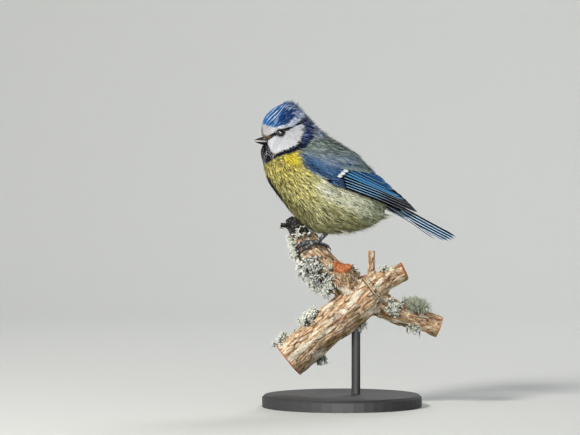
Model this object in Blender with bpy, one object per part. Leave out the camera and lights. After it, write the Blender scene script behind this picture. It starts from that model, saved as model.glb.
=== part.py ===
"""A blue tit as a still, life-size model, gripping a short cut length of branch on a display stand.

The bird faces -X and its left side faces -Y. The origin is the centre of the stand's underside.
Sizes and places below are in millimetres, and mesh_object turns them into metres.
Most places in the bird's mid plane are written as (x, z), because the bird is symmetric about y = 0.
"""
import math
import random

import bmesh
import bpy
import numpy as np
from mathutils import Vector
from mathutils.bvhtree import BVHTree

MM = 0.001
GAP = 0.3                      # between pieces that touch
MERGE = 0.03                   # edges shorter than this are collapsed after a union

# Stand
BASE_RADIUS = 40.0
BASE_HEIGHT = 6.0
BASE_EDGE = 1.2
ROD_RADIUS = 2.2
ROD_AT = (7.0, 0.5)

# Body sections from the bill's base to the tail's base: back (x, z), belly (x, z), half width,
# the height of the widest place as a share of the section, and how far its sides are set back.
BODY_SECTIONS = (
    ((-39.9, 135.4), (-39.6, 130.9), 2.2, 0.50, 0.2),
    ((-40.3, 140.2), (-40.7, 128.6), 6.2, 0.48, 1.8),
    ((-37.6, 146.0), (-40.8, 126.6), 9.3, 0.46, 3.1),
    ((-31.5, 151.2), (-40.5, 124.9), 11.5, 0.46, 2.5),
    ((-25.8, 152.6), (-40.1, 123.5), 12.2, 0.47, 1.2),
    ((-20.2, 148.6), (-39.8, 122.0), 12.3, 0.48, 0.0),
    ((-14.6, 142.4), (-39.1, 118.0), 12.9, 0.48, 0.0),
    ((-7.6, 136.1), (-37.2, 112.0), 15.8, 0.46, 0.0),
    ((0.3, 131.2), (-32.9, 105.9), 17.9, 0.43, 0.0),
    ((7.0, 126.4), (-25.9, 96.9), 19.2, 0.42, 0.0),
    ((12.2, 120.9), (-15.5, 87.6), 19.0, 0.43, 0.0),
    ((17.4, 114.6), (-3.0, 86.4), 17.4, 0.46, 0.0),
    ((22.2, 109.5), (9.5, 88.6), 13.2, 0.50, 0.0),
    ((26.0, 106.0), (18.6, 92.4), 8.4, 0.54, 0.0),
    ((30.6, 101.6), (25.6, 97.0), 3.6, 0.50, 0.0),
)
SECTION_STEPS = 2              # rings between two sections
RING_SIDES = 22
HEAD_CUT = ((-18.6, 147.0), (-39.9, 121.9))
NECK_CUT = ((-9.6, 137.8), (-37.9, 113.9))

# Bill
BILL_TIP = (-44.2, 133.2)
BILL_ROOT_X = -37.3
BILL_HALF_WIDTH = 1.9
BILL_UPPER_HEIGHT = 2.2
BILL_LOWER_HEIGHT = 1.7
MOUTH_Z = 132.9
NOSTRIL_RADIUS = 0.32

# Eyes
EYE_AT = (-30.75, 137.4)
EYE_RADIUS = 2.3
EYE_DEPTH = 1.45
LID_RADIUS = 1.95
LID_THICKNESS = 0.42

# Wings: the outline's lower and upper edges, from the bend to the tip.
WING_LOWER = ((-20.2, 124.0), (-8.0, 113.4), (2.0, 109.6), (11.0, 107.0), (19.5, 102.0), (29.0, 98.2), (37.0, 97.5))
WING_UPPER = ((-18.5, 126.5), (-8.0, 123.5), (5.0, 123.5), (14.0, 119.0), (23.0, 111.3), (29.0, 105.6), (37.2, 98.1))
WING_CLEARANCE = 1.75
WING_TIP_Y = 3.0
WING_ROOF_Y = 17.5
WING_LEAVES_BODY = 9.0
WING_ROOF_BEND = 0.86
WING_BLEND = 1.5
CORE_UNDER_VANES = 0.35
CORE_END_X = 22.0

# Rows of wing feathers: count, first and last root (x, z), first and last tip (x, z), width below and
# above the shaft, and how far the row stands above the wing's sheet.
FLIGHT_ROOTS = ((0.2, 111.2), (5.2, 121.4))
FLIGHT_TIPS = ((27.0, 98.4), (33.0, 97.8), (36.6, 98.0), (35.4, 99.9), (33.0, 102.0), (30.8, 103.9),
               (28.8, 105.7), (27.0, 107.5), (24.8, 109.7), (21.5, 112.6), (16.5, 116.3))
FLIGHT_WIDTH = (0.9, 2.1)
COVERT_ROWS = (
    ("primary", 3, ((-7.5, 114.3), (-7.0, 117.2)), ((2.8, 110.4), (1.1, 113.8)), (0.9, 1.9), 0.3),
    ("greater", 4, ((-7.5, 118.0), (-1.0, 122.2)), ((0.6, 115.4), (6.4, 120.6)), (1.3, 2.3), 0.4),
    ("alula", 2, ((-10.5, 115.4), (-11.0, 117.2)), ((-1.0, 111.8), (-2.6, 113.6)), (0.9, 1.5), 0.6),
    ("median", 3, ((-13.5, 117.8), (-8.5, 122.0)), ((-5.6, 116.0), (-1.6, 120.8)), (1.6, 2.6), 0.7),
)
VANE_SLOPE = 0.42
VANE_THICKNESS = 0.55
VANE_SINK = 0.7
VANE_STOPS = (0.0, 0.4, 0.84, 1.0)
COVERT_STOPS = (0.0, 0.4, 0.85, 1.0)

# Tail: lengths run from its root along its ridge, and depths run down its two sloping sides.
TAIL_ROOT = (24.0, 103.6)
TAIL_TIP = (57.2, 85.1)
TAIL_ROOF = 50.0
TAIL_PAIRS = 5
TAIL_DEPTH_STEP = 1.0
TAIL_WIDTH = (0.85, 1.5)
TAIL_BASE_SPREAD = 1.18
TAIL_OUTER = ((5.6, 5.4), (28.4, 7.9))
TAIL_OUTER_FOLDED = ((5.6, 5.4), (34.5, 5.3))
TAIL_CORE = ((3.0, 2.6, 3.0, 2.5), (8.0, 2.5, 2.5, 1.9), (12.5, 2.0, 1.5, 0.9), (17.0, 1.6, 0.7, 0.45))
TAIL_COVERTS = 3
VENT_FEATHERS = (((17.5, 93.6), (27.4, 94.2), 0.0), ((17.0, 94.0), (25.6, 95.6), 2.2), ((15.0, 92.4), (24.0, 92.8), 1.2))

# Crown feathers: rows of roots and tips along the head's top, as (x, y)
CREST_ROWS = (((-30.0, -22.4), (0.0, 3.0)), ((-34.0, -26.2), (1.7,)))
CREST_LIFT = 0.75
CREST_WIDTH = 1.3

# Legs and feet
TARSUS_TOP = (-3.0, 91.5)
TARSUS_RADIUS = 0.8
LEG_Y = 4.6
TOE_RADIUS = 0.72

# Perch: each limb as points (x, y, z, radius)
LIMB_GRIPPED = (
    (-24.4, 3.6, 94.8, 4.4),
    (-21.8, 2.4, 89.5, 5.4),
    (-19.4, 1.2, 85.0, 6.1),
    (-16.7, 0.5, 80.0, 7.0),
    (-13.5, 0.0, 75.0, 7.7),
    (-6.5, 0.0, 67.5, 7.8),
    (5.0, 0.0, 60.0, 8.4),
)
LIMB_MAIN = (
    (17.0, 0.0, 59.0, 9.0),
    (12.0, 0.0, 55.5, 10.3),
    (4.0, 0.0, 49.0, 10.0),
    (-7.0, 0.0, 40.0, 9.4),
    (-17.0, 0.0, 31.5, 9.4),
    (-27.0, 0.0, 23.3, 9.9),
)
LIMB_SIDE = (
    (14.0, 0.5, 54.5, 7.5),
    (25.0, 1.0, 48.2, 6.0),
    (36.0, 1.5, 44.3, 5.4),
    (49.0, 2.0, 39.8, 5.3),
)
LIMB_SAWN = (
    (12.0, 0.0, 57.0, 8.0),
    (22.0, -0.5, 63.6, 5.6),
    (31.4, -1.0, 68.2, 4.7),
)
LIMB_STUB = (
    (5.0, -1.5, 55.0, 5.2),
    (2.6, -4.5, 63.0, 4.3),
    (1.0, -7.2, 70.6, 3.8),
)
LIMB_SPUR = (
    (15.0, 0.0, 62.0, 2.6),
    (14.6, -0.4, 70.0, 1.8),
    (14.8, -0.8, 78.3, 2.0),
)
LIMB_TWIG = (
    (-24.0, 1.0, 88.0, 1.6),
    (-27.6, 0.0, 90.8, 1.2),
    (-30.8, -0.8, 91.2, 1.0),
)
BARK_ROUGHNESS = 0.035
LIMB_SIDES = 12

# Lichen clumps: name, limb, share along the limb, degrees round it, lobes, lobe length
LICHENS = (
    ("gripped_top", LIMB_GRIPPED, 0.50, 172.0, 6, 5.0),
    ("gripped_low", LIMB_GRIPPED, 0.72, 128.0, 10, 8.6),
    ("side", LIMB_SIDE, 0.62, 10.0, 7, 6.0),
    ("main_top", LIMB_MAIN, 0.80, 190.0, 5, 4.0),
    ("main_low", LIMB_MAIN, 0.66, 10.0, 7, 6.5),
)
LICHEN_SEED = 7

COLOURS = {
    "cap_blue": (0.10, 0.24, 0.60, 0.7),
    "nape_blue": (0.09, 0.13, 0.30, 0.7),
    "body_yellow": (0.55, 0.55, 0.17, 0.75),
    "bill": (0.07, 0.07, 0.08, 0.35),
    "eye": (0.01, 0.008, 0.006, 0.1),
    "wing_blue": (0.10, 0.23, 0.46, 0.6),
    "tail_blue": (0.15, 0.29, 0.52, 0.6),
    "leg": (0.10, 0.11, 0.14, 0.5),
    "claw": (0.02, 0.02, 0.02, 0.3),
    "bark": (0.34, 0.20, 0.11, 0.85),
    "lichen": (0.58, 0.64, 0.52, 0.9),
    "stand": (0.06, 0.06, 0.06, 0.4),
}


def clear_scene():
    for obj in list(bpy.data.objects):
        bpy.data.objects.remove(obj, do_unlink=True)


def material(name):
    found = bpy.data.materials.get(name)
    if found:
        return found
    made = bpy.data.materials.new(name)
    made.use_nodes = True
    shader = made.node_tree.nodes["Principled BSDF"]
    red, green, blue, rough = COLOURS[name]
    shader.inputs["Base Color"].default_value = (red, green, blue, 1.0)
    shader.inputs["Roughness"].default_value = rough
    return made


def mesh_object(name, points, faces, colour):
    """A triangulated object from points in millimetres."""
    mesh = bpy.data.meshes.new(name)
    bm = bmesh.new()
    verts = [bm.verts.new(Vector(p) * MM) for p in points]
    for face in faces:
        bm.faces.new([verts[i] for i in face])
    bmesh.ops.triangulate(bm, faces=bm.faces)
    bmesh.ops.recalc_face_normals(bm, faces=bm.faces)
    if bm.calc_volume(signed=True) < 0:
        bmesh.ops.reverse_faces(bm, faces=bm.faces)
    bm.to_mesh(mesh)
    bm.free()
    mesh.materials.append(material(colour))
    obj = bpy.data.objects.new(name, mesh)
    bpy.context.scene.collection.objects.link(obj)
    return obj


def smooth_shading(obj, degrees=40.0):
    obj.data.shade_smooth()
    obj.data.set_sharp_from_angle(angle=math.radians(degrees))


def loft(rings, first_cap=True, last_cap=True):
    """Points and triangles of a skin over closed rings of equal length, split alike all along."""
    points = [p for ring in rings for p in ring]
    sides = len(rings[0])
    faces = []
    for r in range(len(rings) - 1):
        for i in range(sides):
            j = (i + 1) % sides
            a, b = r * sides + i, r * sides + j
            c, d = a + sides, b + sides
            faces.append((a, b, d))
            faces.append((a, d, c))
    for wanted, ring, turn in ((first_cap, 0, True), (last_cap, len(rings) - 1, False)):
        if not wanted:
            continue
        start = ring * sides
        centre = sum((Vector(p) for p in rings[ring]), Vector()) / sides
        points.append(tuple(centre))
        hub = len(points) - 1
        for i in range(sides):
            j = (i + 1) % sides
            faces.append((start + j, start + i, hub) if turn else (start + i, start + j, hub))
    return points, faces


def curve(keys, t):
    """A smooth curve through rows of numbers, at t from 0 to the last row's index."""
    rows = [np.array(k, dtype=float) for k in keys]
    i = min(int(t), len(rows) - 2)
    f = t - i
    before = rows[i - 1] if i > 0 else 2 * rows[0] - rows[1]
    after = rows[i + 2] if i + 2 < len(rows) else 2 * rows[-1] - rows[-2]
    a, b = rows[i], rows[i + 1]
    return (a * (1 - f) * (1 - f) * (1 + 2 * f) + b * f * f * (3 - 2 * f)
            + (b - before) / 2 * f * (1 - f) ** 2 - (after - a) / 2 * f * f * (1 - f))


def along(keys, share):
    return curve(keys, share * (len(keys) - 1))


def body_ring(row, extra=0.0):
    """One closed ring of the body from a section row: back, belly, half width, height share, setback."""
    back_x, back_z, belly_x, belly_z, half, share, setback = row
    back = Vector((back_x, 0.0, back_z))
    belly = Vector((belly_x, 0.0, belly_z))
    up = (back - belly).normalized()
    back += up * extra
    belly -= up * extra
    half += extra
    length = (back - belly).length
    forward = Vector((up.z, 0.0, -up.x))
    ring = []
    for i in range(RING_SIDES):
        angle = 2 * math.pi * i / RING_SIDES
        side, rise = math.sin(angle), -math.cos(angle)
        height = length * (share + (share if rise < 0 else 1 - share) * rise)
        point = belly + up * height + forward * (setback * side * side)
        ring.append((point.x, math.copysign(abs(side) ** 0.92, side) * half, point.z))
    return ring


def body_rows():
    keys = [(b[0], b[1], v[0], v[1], half, share, back) for b, v, half, share, back in BODY_SECTIONS]
    count = (len(keys) - 1) * SECTION_STEPS
    return [along(keys, i / count) for i in range(count + 1)]


def body_object(name, colour, extra=0.0, end_push=0.0):
    rows = body_rows()
    rings = [body_ring(row, extra) for row in rows]
    if end_push:
        rings[0] = [(x - end_push, y, z) for x, y, z in rings[0]]
        rings[-1] = [(x + end_push, y, z - end_push * 0.6) for x, y, z in rings[-1]]
    points, faces = loft(rings)
    return mesh_object(name, points, faces, colour)


def keep_largest(obj):
    """Keeps the largest closed surface of a mesh."""
    bm = bmesh.new()
    bm.from_mesh(obj.data)
    bm.faces.ensure_lookup_table()
    seen = set()
    parts = []
    for start in bm.faces:
        if start.index in seen:
            continue
        part, todo = [], [start]
        seen.add(start.index)
        while todo:
            face = todo.pop()
            part.append(face)
            for edge in face.edges:
                for other in edge.link_faces:
                    if other.index not in seen:
                        seen.add(other.index)
                        todo.append(other)
        parts.append(part)
    parts.sort(key=lambda part: sum(f.calc_area() for f in part))
    for part in parts[:-1]:
        bmesh.ops.delete(bm, geom=part, context="FACES")
    bmesh.ops.triangulate(bm, faces=bm.faces)
    bm.to_mesh(obj.data)
    bm.free()


def clean(obj):
    """Collapses the shortest edges one by one, where that leaves the surface closed."""
    bm = bmesh.new()
    bm.from_mesh(obj.data)
    bmesh.ops.triangulate(bm, faces=bm.faces)
    found = True
    while found:
        found = False
        for edge in list(bm.edges):
            if not edge.is_valid or edge.calc_length() > MERGE * MM:
                continue
            first, second = edge.verts
            around_first = {e.other_vert(first) for e in first.link_edges}
            around_second = {e.other_vert(second) for e in second.link_edges}
            if len(around_first & around_second) == 2:
                bmesh.ops.weld_verts(bm, targetmap={first: second})
                found = True
    bm.to_mesh(obj.data)
    bm.free()


def boolean(obj, others, operation, solver="EXACT"):
    """Joins or cuts obj with closed mesh objects, which are then removed."""
    group = bpy.data.collections.new("pieces")
    bpy.context.scene.collection.children.link(group)
    for other in others:
        for home in list(other.users_collection):
            home.objects.unlink(other)
        group.objects.link(other)
    modifier = obj.modifiers.new("join", "BOOLEAN")
    modifier.operation = operation
    modifier.operand_type = "COLLECTION"
    modifier.collection = group
    modifier.solver = solver
    graph = bpy.context.evaluated_depsgraph_get()
    graph.update()
    result = bpy.data.meshes.new_from_object(obj.evaluated_get(graph))
    obj.modifiers.remove(modifier)
    result.materials.clear()
    for slot in obj.data.materials:
        result.materials.append(slot)
    obj.data = result
    for other in others:
        bpy.data.objects.remove(other, do_unlink=True)
    bpy.data.collections.remove(group)
    for face in obj.data.polygons:
        face.material_index = 0
    keep_largest(obj)
    return obj


def copy_object(obj, name):
    made = obj.copy()
    made.data = obj.data.copy()
    made.name = name
    bpy.context.scene.collection.objects.link(made)
    return made


def keep_side(obj, line, offset, front):
    """Cuts obj by the plane through a line in the mid plane, moved by offset, and keeps one side."""
    (ax, az), (bx, bz) = line
    normal = Vector((-(az - bz), 0.0, ax - bx)).normalized()
    if normal.x > 0:
        normal.negate()
    place = Vector((ax, 0.0, az)) - normal * offset
    bm = bmesh.new()
    bm.from_mesh(obj.data)
    geometry = list(bm.verts) + list(bm.edges) + list(bm.faces)
    cut = bmesh.ops.bisect_plane(bm, geom=geometry, dist=1e-7, plane_co=place * MM, plane_no=normal,
                                 clear_inner=front, clear_outer=not front)
    rim = [e for e in cut["geom_cut"] if isinstance(e, bmesh.types.BMEdge)]
    bmesh.ops.triangle_fill(bm, edges=rim, use_beauty=True)
    bmesh.ops.recalc_face_normals(bm, faces=bm.faces)
    bmesh.ops.triangulate(bm, faces=bm.faces)
    bm.to_mesh(obj.data)
    bm.free()


def sphere(name, centre, radius, colour, segments=16, rings=10):
    mesh = bpy.data.meshes.new(name)
    bm = bmesh.new()
    bmesh.ops.create_uvsphere(bm, u_segments=segments, v_segments=rings, radius=radius * MM)
    bmesh.ops.translate(bm, verts=bm.verts, vec=Vector(centre) * MM)
    bmesh.ops.triangulate(bm, faces=bm.faces)
    bm.to_mesh(mesh)
    bm.free()
    mesh.materials.append(material(colour))
    obj = bpy.data.objects.new(name, mesh)
    bpy.context.scene.collection.objects.link(obj)
    return obj


def frames(path):
    """Directions along a path, with two side directions that don't twist."""
    count = len(path)
    tangents = []
    for i in range(count):
        ahead = Vector(path[min(i + 1, count - 1)])
        behind = Vector(path[max(i - 1, 0)])
        tangents.append((ahead - behind).normalized())
    side = tangents[0].cross(Vector((0.0, 1.0, 0.0)))
    if side.length < 0.1:
        side = tangents[0].cross(Vector((1.0, 0.0, 0.0)))
    side.normalize()
    result = []
    for tangent in tangents:
        side = (side - tangent * side.dot(tangent)).normalized()
        result.append((tangent, side, side.cross(tangent)))
    return result


def tube(name, path, radii, sides, colour, rough=0.0):
    rings = []
    for index, ((_, side, other), centre, radius) in enumerate(zip(frames(path), path, radii)):
        ring = []
        for i in range(sides):
            angle = 2 * math.pi * i / sides
            bump = 1.0 + rough * math.sin(3 * angle + 1.7 * index) + rough * math.sin(5 * angle - 2.3 * index)
            ring.append(tuple(Vector(centre) + (side * math.cos(angle) + other * math.sin(angle)) * radius * bump))
        rings.append(ring)
    points, faces = loft(rings)
    return mesh_object(name, points, faces, colour)


def limb(name, keys, steps=2):
    count = (len(keys) - 1) * steps
    rows = [along(keys, i / count) for i in range(count + 1)]
    return tube(name, [tuple(r[:3]) for r in rows], [r[3] for r in rows], LIMB_SIDES, "bark", BARK_ROUGHNESS)


def limb_point(keys, share, degrees, lift):
    """A point above a limb's surface. Angle 0 is its upper right side and 90 faces -Y."""
    row = along(keys, share)
    ahead = along(keys, min(share + 0.01, 1.0))[:3] - along(keys, max(share - 0.01, 0.0))[:3]
    axis = Vector(ahead).normalized()
    front = Vector((0.0, -1.0, 0.0))
    front = (front - axis * front.dot(axis)).normalized()
    upper = axis.cross(front)
    if upper.z < 0:
        upper.negate()
    angle = math.radians(degrees)
    out = upper * math.cos(angle) + front * math.sin(angle)
    return Vector(row[:3]) + out * (row[3] * (1 + 1.4 * BARK_ROUGHNESS) + lift), out, axis


def side_surface(tree, x, z):
    """Half width of the body at (x, z), or None beside it."""
    hit = tree.ray_cast(Vector((x, -60.0, z)) * MM, Vector((0.0, 1.0, 0.0)))
    return None if hit[0] is None else -hit[0].y / MM


def edge_height(keys, x):
    """The height of a wing edge at x."""
    return float(np.interp(x, [k[0] for k in keys], [k[1] for k in keys]))


def wing_sheet(tree):
    """The wing's outer surface y(x, z): close over the body, then a stiff roof narrowing to the tip."""
    def surface(x, z):
        low, high = edge_height(WING_LOWER, x), edge_height(WING_UPPER, x)
        share = min(max((z - low) / max(high - low, 1.0), 0.0), 1.1)
        reach = min(max((x - WING_LEAVES_BODY) / (WING_LOWER[-1][0] - WING_LEAVES_BODY), 0.0), 1.0)
        stiff = WING_TIP_Y + (WING_ROOF_Y - WING_TIP_Y) * (1.0 - reach) ** 0.9
        stiff *= math.sqrt(1.0 - (WING_ROOF_BEND * share) ** 2)
        half = side_surface(tree, x, z)
        near = 0.0 if half is None else half + WING_CLEARANCE
        spread = math.hypot(near - stiff, WING_BLEND)
        return (near + stiff + spread) / 2 - WING_BLEND / 2

    return surface


def wing_core(name, surface, side, colour):
    """The wing's smooth inner blade, from its bend to where the body ends, as deep as the body under it."""
    steps, across = 10, 5
    end = next(i / 200 for i in range(201) if along(WING_LOWER, i / 200)[0] > CORE_END_X)
    outer, inner = [], []
    for i in range(steps + 1):
        share = end * i / steps
        low, high = along(WING_LOWER, share), along(WING_UPPER, share)
        top, bottom = [], []
        for j in range(across + 1):
            x, z = low + (high - low) * (0.02 + 0.97 * j / across)
            y = surface(x, z) - CORE_UNDER_VANES
            top.append((x, side * y, z))
            bottom.append((x, side * (y - (3.5 if i < steps - 3 else VANE_THICKNESS)), z))
        outer.append(top)
        inner.append(bottom)
    rings = [top + bottom[::-1] for top, bottom in zip(outer, inner)]
    points, faces = loft(rings, False, False)
    sides = len(rings[0])
    for first in (0, steps * sides):
        for j in range(across):
            faces.append((first + j, first + j + 1, first + sides - 2 - j, first + sides - 1 - j))
    return mesh_object(name, points, faces, colour)


def tip_shape(f):
    """Width of a feather at a share of its length: narrow at the root and rounded at the tip."""
    if f < 0.3:
        return 0.75 + 0.25 * f / 0.3
    if f < 0.75:
        return 1.0
    return max(math.sqrt(1.0 - ((f - 0.75) / 0.25) ** 2), 0.24)


def blade(name, start, end, bow, width, slope, thickness, place, colour, stops=VANE_STOPS):
    """One feather vane, laid by place(u, v, lift), with its lower edge raised and its upper edge tucked in."""
    start, end = Vector(start), Vector(end)
    ahead = (end - start).normalized()
    across = Vector((-ahead.y, ahead.x))
    points = []
    for f in stops:
        centre = start + (end - start) * f + across * (bow * math.sin(math.pi * f))
        size = tip_shape(f)
        thick = thickness * (1.0 - 0.45 * f * f)
        sunk = VANE_SINK * max(1.0 - f / 0.25, 0.0)
        for depth in (sunk, sunk + thick):
            for c in (-width[0] * size, width[1] * size):
                spot = centre + across * c
                points.append(place(spot.x, spot.y, -slope * c - depth))
    faces = []
    for a in range(0, 4 * len(stops) - 4, 4):
        b = a + 4
        faces += [(a, a + 1, b + 1), (a, b + 1, b), (a + 2, b + 3, a + 3), (a + 2, b + 2, b + 3)]
        faces += [(a, b, b + 2), (a, b + 2, a + 2), (a + 1, a + 3, b + 3), (a + 1, b + 3, b + 1)]
    last = 4 * len(stops) - 4
    faces += [(0, 2, 3), (0, 3, 1), (last, last + 1, last + 3), (last, last + 3, last + 2)]
    return mesh_object(name, points, faces, colour)


def wing_vanes(surface, side):
    """The flight feathers, longest beneath, and the rows of coverts over their roots."""
    vanes = []

    def placer(base):
        return lambda x, z, lift: (x, side * (surface(x, z) + base + lift), z)

    for i in range(len(FLIGHT_TIPS)):
        share = i / (len(FLIGHT_TIPS) - 1)
        root = np.array(FLIGHT_ROOTS[0]) * (1 - share) + np.array(FLIGHT_ROOTS[1]) * share
        vanes.append(blade("flight", root, FLIGHT_TIPS[i], 0.5 - share, FLIGHT_WIDTH, VANE_SLOPE, VANE_THICKNESS,
                           placer(0.0), "wing_blue"))
    for _, count, roots, tips, width, base in COVERT_ROWS:
        for i in range(count):
            share = i / (count - 1)
            root = np.array(roots[0]) * (1 - share) + np.array(roots[1]) * share
            tip = np.array(tips[0]) * (1 - share) + np.array(tips[1]) * share
            vanes.append(blade("covert", root, tip, 0.2, width, VANE_SLOPE, VANE_THICKNESS + base, placer(base),
                               "wing_blue", COVERT_STOPS))
    return vanes


def build_body():
    whole = body_object("whole_body", "body_yellow")
    tree = BVHTree.FromObject(whole, bpy.context.evaluated_depsgraph_get())
    head = copy_object(whole, "head")
    keep_side(head, HEAD_CUT, -GAP / 2, True)
    neck = copy_object(whole, "neck")
    keep_side(neck, HEAD_CUT, GAP / 2, False)
    keep_side(neck, NECK_CUT, -GAP / 2, True)
    torso = copy_object(whole, "torso")
    keep_side(torso, NECK_CUT, GAP / 2, False)
    for obj, colour in ((head, "cap_blue"), (neck, "nape_blue"), (torso, "body_yellow")):
        obj.data.materials.clear()
        obj.data.materials.append(material(colour))
    bpy.data.objects.remove(whole, do_unlink=True)
    return head, neck, torso, tree


def bill_half(name, upper, extra=0.0):
    """Upper or lower half of the bill, flat along the mouth line."""
    steps, sides = 6, 8
    height = BILL_UPPER_HEIGHT if upper else BILL_LOWER_HEIGHT
    sign = 1.0 if upper else -1.0
    tip_x = BILL_TIP[0] + (0.0 if upper else 0.5)
    rings = []
    for i in range(steps + 1):
        share = i / steps
        x = BILL_ROOT_X + (tip_x - BILL_ROOT_X) * share
        size = math.sqrt(max(1.0 - share ** 1.5, 0.0)) * 0.9 + 0.1 * (1.0 - share)
        size = max(size, 0.10)
        droop = 0.2 * share ** 2 if upper else -0.05 * share
        flat = MOUTH_Z + sign * (GAP / 2 - extra) + droop
        ring = []
        for k in range(sides + 1):
            angle = math.pi * k / sides
            ring.append((x, math.cos(angle) * (BILL_HALF_WIDTH * size + extra),
                         flat + sign * math.sin(angle) ** 0.85 * (height * size + 2 * extra)))
        rings.append(ring)
    if extra:
        rings[0] = [(x + extra, y, z) for x, y, z in rings[0]]
    points, faces = loft(rings)
    return mesh_object(name, points, faces, "bill")


def build_bill(head):
    boolean(head, [bill_half("cut_a", True, GAP)], "DIFFERENCE")
    boolean(head, [bill_half("cut_b", False, GAP)], "DIFFERENCE")
    upper = bill_half("bill_upper", True)
    bill_half("bill_lower", False)
    holes = [sphere("nostril", (-41.0, side * 1.15, MOUTH_Z + 1.35), NOSTRIL_RADIUS, "bill", 8, 6)
             for side in (-1.0, 1.0)]
    boolean(upper, holes, "DIFFERENCE")


def ring_around(name, centre, normal, radius, thickness, colour, sides=14, round_sides=5):
    """A rounded ring about a centre, square to a direction."""
    across = normal.cross(Vector((0.0, 0.0, 1.0))).normalized()
    up = across.cross(normal)
    points = []
    for i in range(sides):
        angle = 2 * math.pi * i / sides
        out = across * math.cos(angle) + up * math.sin(angle)
        for k in range(round_sides):
            turn = 2 * math.pi * k / round_sides
            points.append(tuple(centre + out * (radius + thickness * math.cos(turn)) + normal * thickness * math.sin(turn)))
    faces = []
    for i in range(sides):
        for k in range(round_sides):
            a = i * round_sides + k
            b = i * round_sides + (k + 1) % round_sides
            c = ((i + 1) % sides) * round_sides + k
            d = ((i + 1) % sides) * round_sides + (k + 1) % round_sides
            faces.append((a, b, d))
            faces.append((a, d, c))
    return mesh_object(name, points, faces, colour)


def build_eyes(head, tree):
    for side, word in ((-1.0, "left"), (1.0, "right")):
        origin = Vector((EYE_AT[0], side * 60.0, EYE_AT[1])) * MM
        place, normal, _, _ = tree.ray_cast(origin, Vector((0.0, -side, 0.0)))
        place = place / MM
        centre = place - normal * EYE_DEPTH
        lid = ring_around("lid", place, normal, LID_RADIUS, LID_THICKNESS, "cap_blue")
        boolean(head, [lid], "UNION")
        boolean(head, [sphere("socket", centre, EYE_RADIUS + GAP, "cap_blue", 14, 8)], "DIFFERENCE")
        smooth_shading(sphere("eye_" + word, centre, EYE_RADIUS, "eye", 16, 9), 80.0)


def build_wings(tree):
    surface = wing_sheet(tree)
    for side, word in ((-1.0, "left"), (1.0, "right")):
        wing = wing_core("wing_" + word, surface, side, "wing_blue")
        boolean(wing, wing_vanes(surface, side), "UNION", "MANIFOLD")
        boolean(wing, [body_object("hull", "body_yellow", GAP, GAP)], "DIFFERENCE", "MANIFOLD")
        clean(wing)
        smooth_shading(wing, 25.0)


def tail_place(side, base=0.0):
    """Maps a length along the tail, a depth down its roof and a lift to a point on one side of it."""
    root = Vector((TAIL_ROOT[0], 0.0, TAIL_ROOT[1]))
    ahead = (Vector((TAIL_TIP[0], 0.0, TAIL_TIP[1])) - root).normalized()
    up = Vector((-ahead.z, 0.0, ahead.x))
    roof = math.radians(TAIL_ROOF)

    def place(length, depth, lift):
        lift += base
        out = depth * math.cos(roof) + lift * math.sin(roof)
        height = -depth * math.sin(roof) + lift * math.cos(roof)
        return tuple(root + ahead * length + up * height + Vector((0.0, side * out, 0.0)))

    return place


def tail_length():
    return math.hypot(TAIL_TIP[0] - TAIL_ROOT[0], TAIL_TIP[1] - TAIL_ROOT[1])


def build_tail():
    """Rectrices in pairs down the two sides of a roof, the central pair on top, with coverts at the root."""
    rings = []
    for length, depth, half_width, half_height in TAIL_CORE:
        ring = []
        for i in range(12):
            angle = 2 * math.pi * i / 12
            x, _, z = tail_place(1.0)(length, 0.0, 0.0)
            shift = half_height * math.cos(angle) - depth
            ax, az = tail_place(1.0)(length, 1.0, 0.0)[0] - x, tail_place(1.0)(length, 1.0, 0.0)[2] - z
            drop = math.hypot(ax, az)
            ring.append((x - ax / drop * shift, half_width * math.sin(angle), z - az / drop * shift))
        rings.append(ring)
    points, faces = loft(rings)
    tail = mesh_object("tail", points, faces, "tail_blue")
    vanes = []
    full = tail_length()
    for side in (-1.0, 1.0):
        for k in range(TAIL_PAIRS):
            depth = 0.3 + TAIL_DEPTH_STEP * k
            end = full - 0.35 * k * k * 0.5
            vanes.append(blade("rectrix", (2.0, depth * TAIL_BASE_SPREAD), (end, depth), 0.25, TAIL_WIDTH[::-1],
                               -VANE_SLOPE, VANE_THICKNESS, tail_place(side), "tail_blue"))
        start, end = TAIL_OUTER if side < 0 else TAIL_OUTER_FOLDED
        vanes.append(blade("rectrix", start, end, 0.2, TAIL_WIDTH[::-1], -VANE_SLOPE, VANE_THICKNESS,
                           tail_place(side), "tail_blue"))
        for k in range(TAIL_COVERTS):
            vanes.append(blade("covert", (2.5, 0.8 + 1.6 * k), (13.5 - 2.0 * k, 0.7 + 1.5 * k), 0.1, (1.2, 1.2), 0.0,
                               VANE_THICKNESS + 0.6, tail_place(side, 0.6), "tail_blue", COVERT_STOPS))
    boolean(tail, vanes, "UNION", "MANIFOLD")
    boolean(tail, [body_object("hull", "body_yellow", GAP, GAP)], "DIFFERENCE", "MANIFOLD")
    clean(tail)
    smooth_shading(tail, 25.0)


def build_crest(head, tree):
    """Raised crown feathers in two rows, front row over the back row's roots."""
    def place(x, y, lift):
        hit = tree.ray_cast(Vector((x, y, 200.0)) * MM, Vector((0.0, 0.0, -1.0)))[0]
        return x, y, hit.z / MM + lift

    vanes = []
    for (root_x, tip_x), spots in CREST_ROWS:
        for y in sorted({sign * spot for spot in spots for sign in (-1.0, 1.0)}):
            start, end = (root_x, y * 0.75), (tip_x, y)

            def raised(x, v, lift, first=root_x, last=tip_x):
                rise = CREST_LIFT * max((x - first) / (last - first), 0.0) ** 1.5
                return place(x, v, lift + rise - 0.35)

            vanes.append(blade("crest", start, end, 0.0, (CREST_WIDTH, CREST_WIDTH), 0.0, 0.9, raised, "cap_blue",
                               COVERT_STOPS))
    boolean(head, vanes, "UNION", "MANIFOLD")


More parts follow.
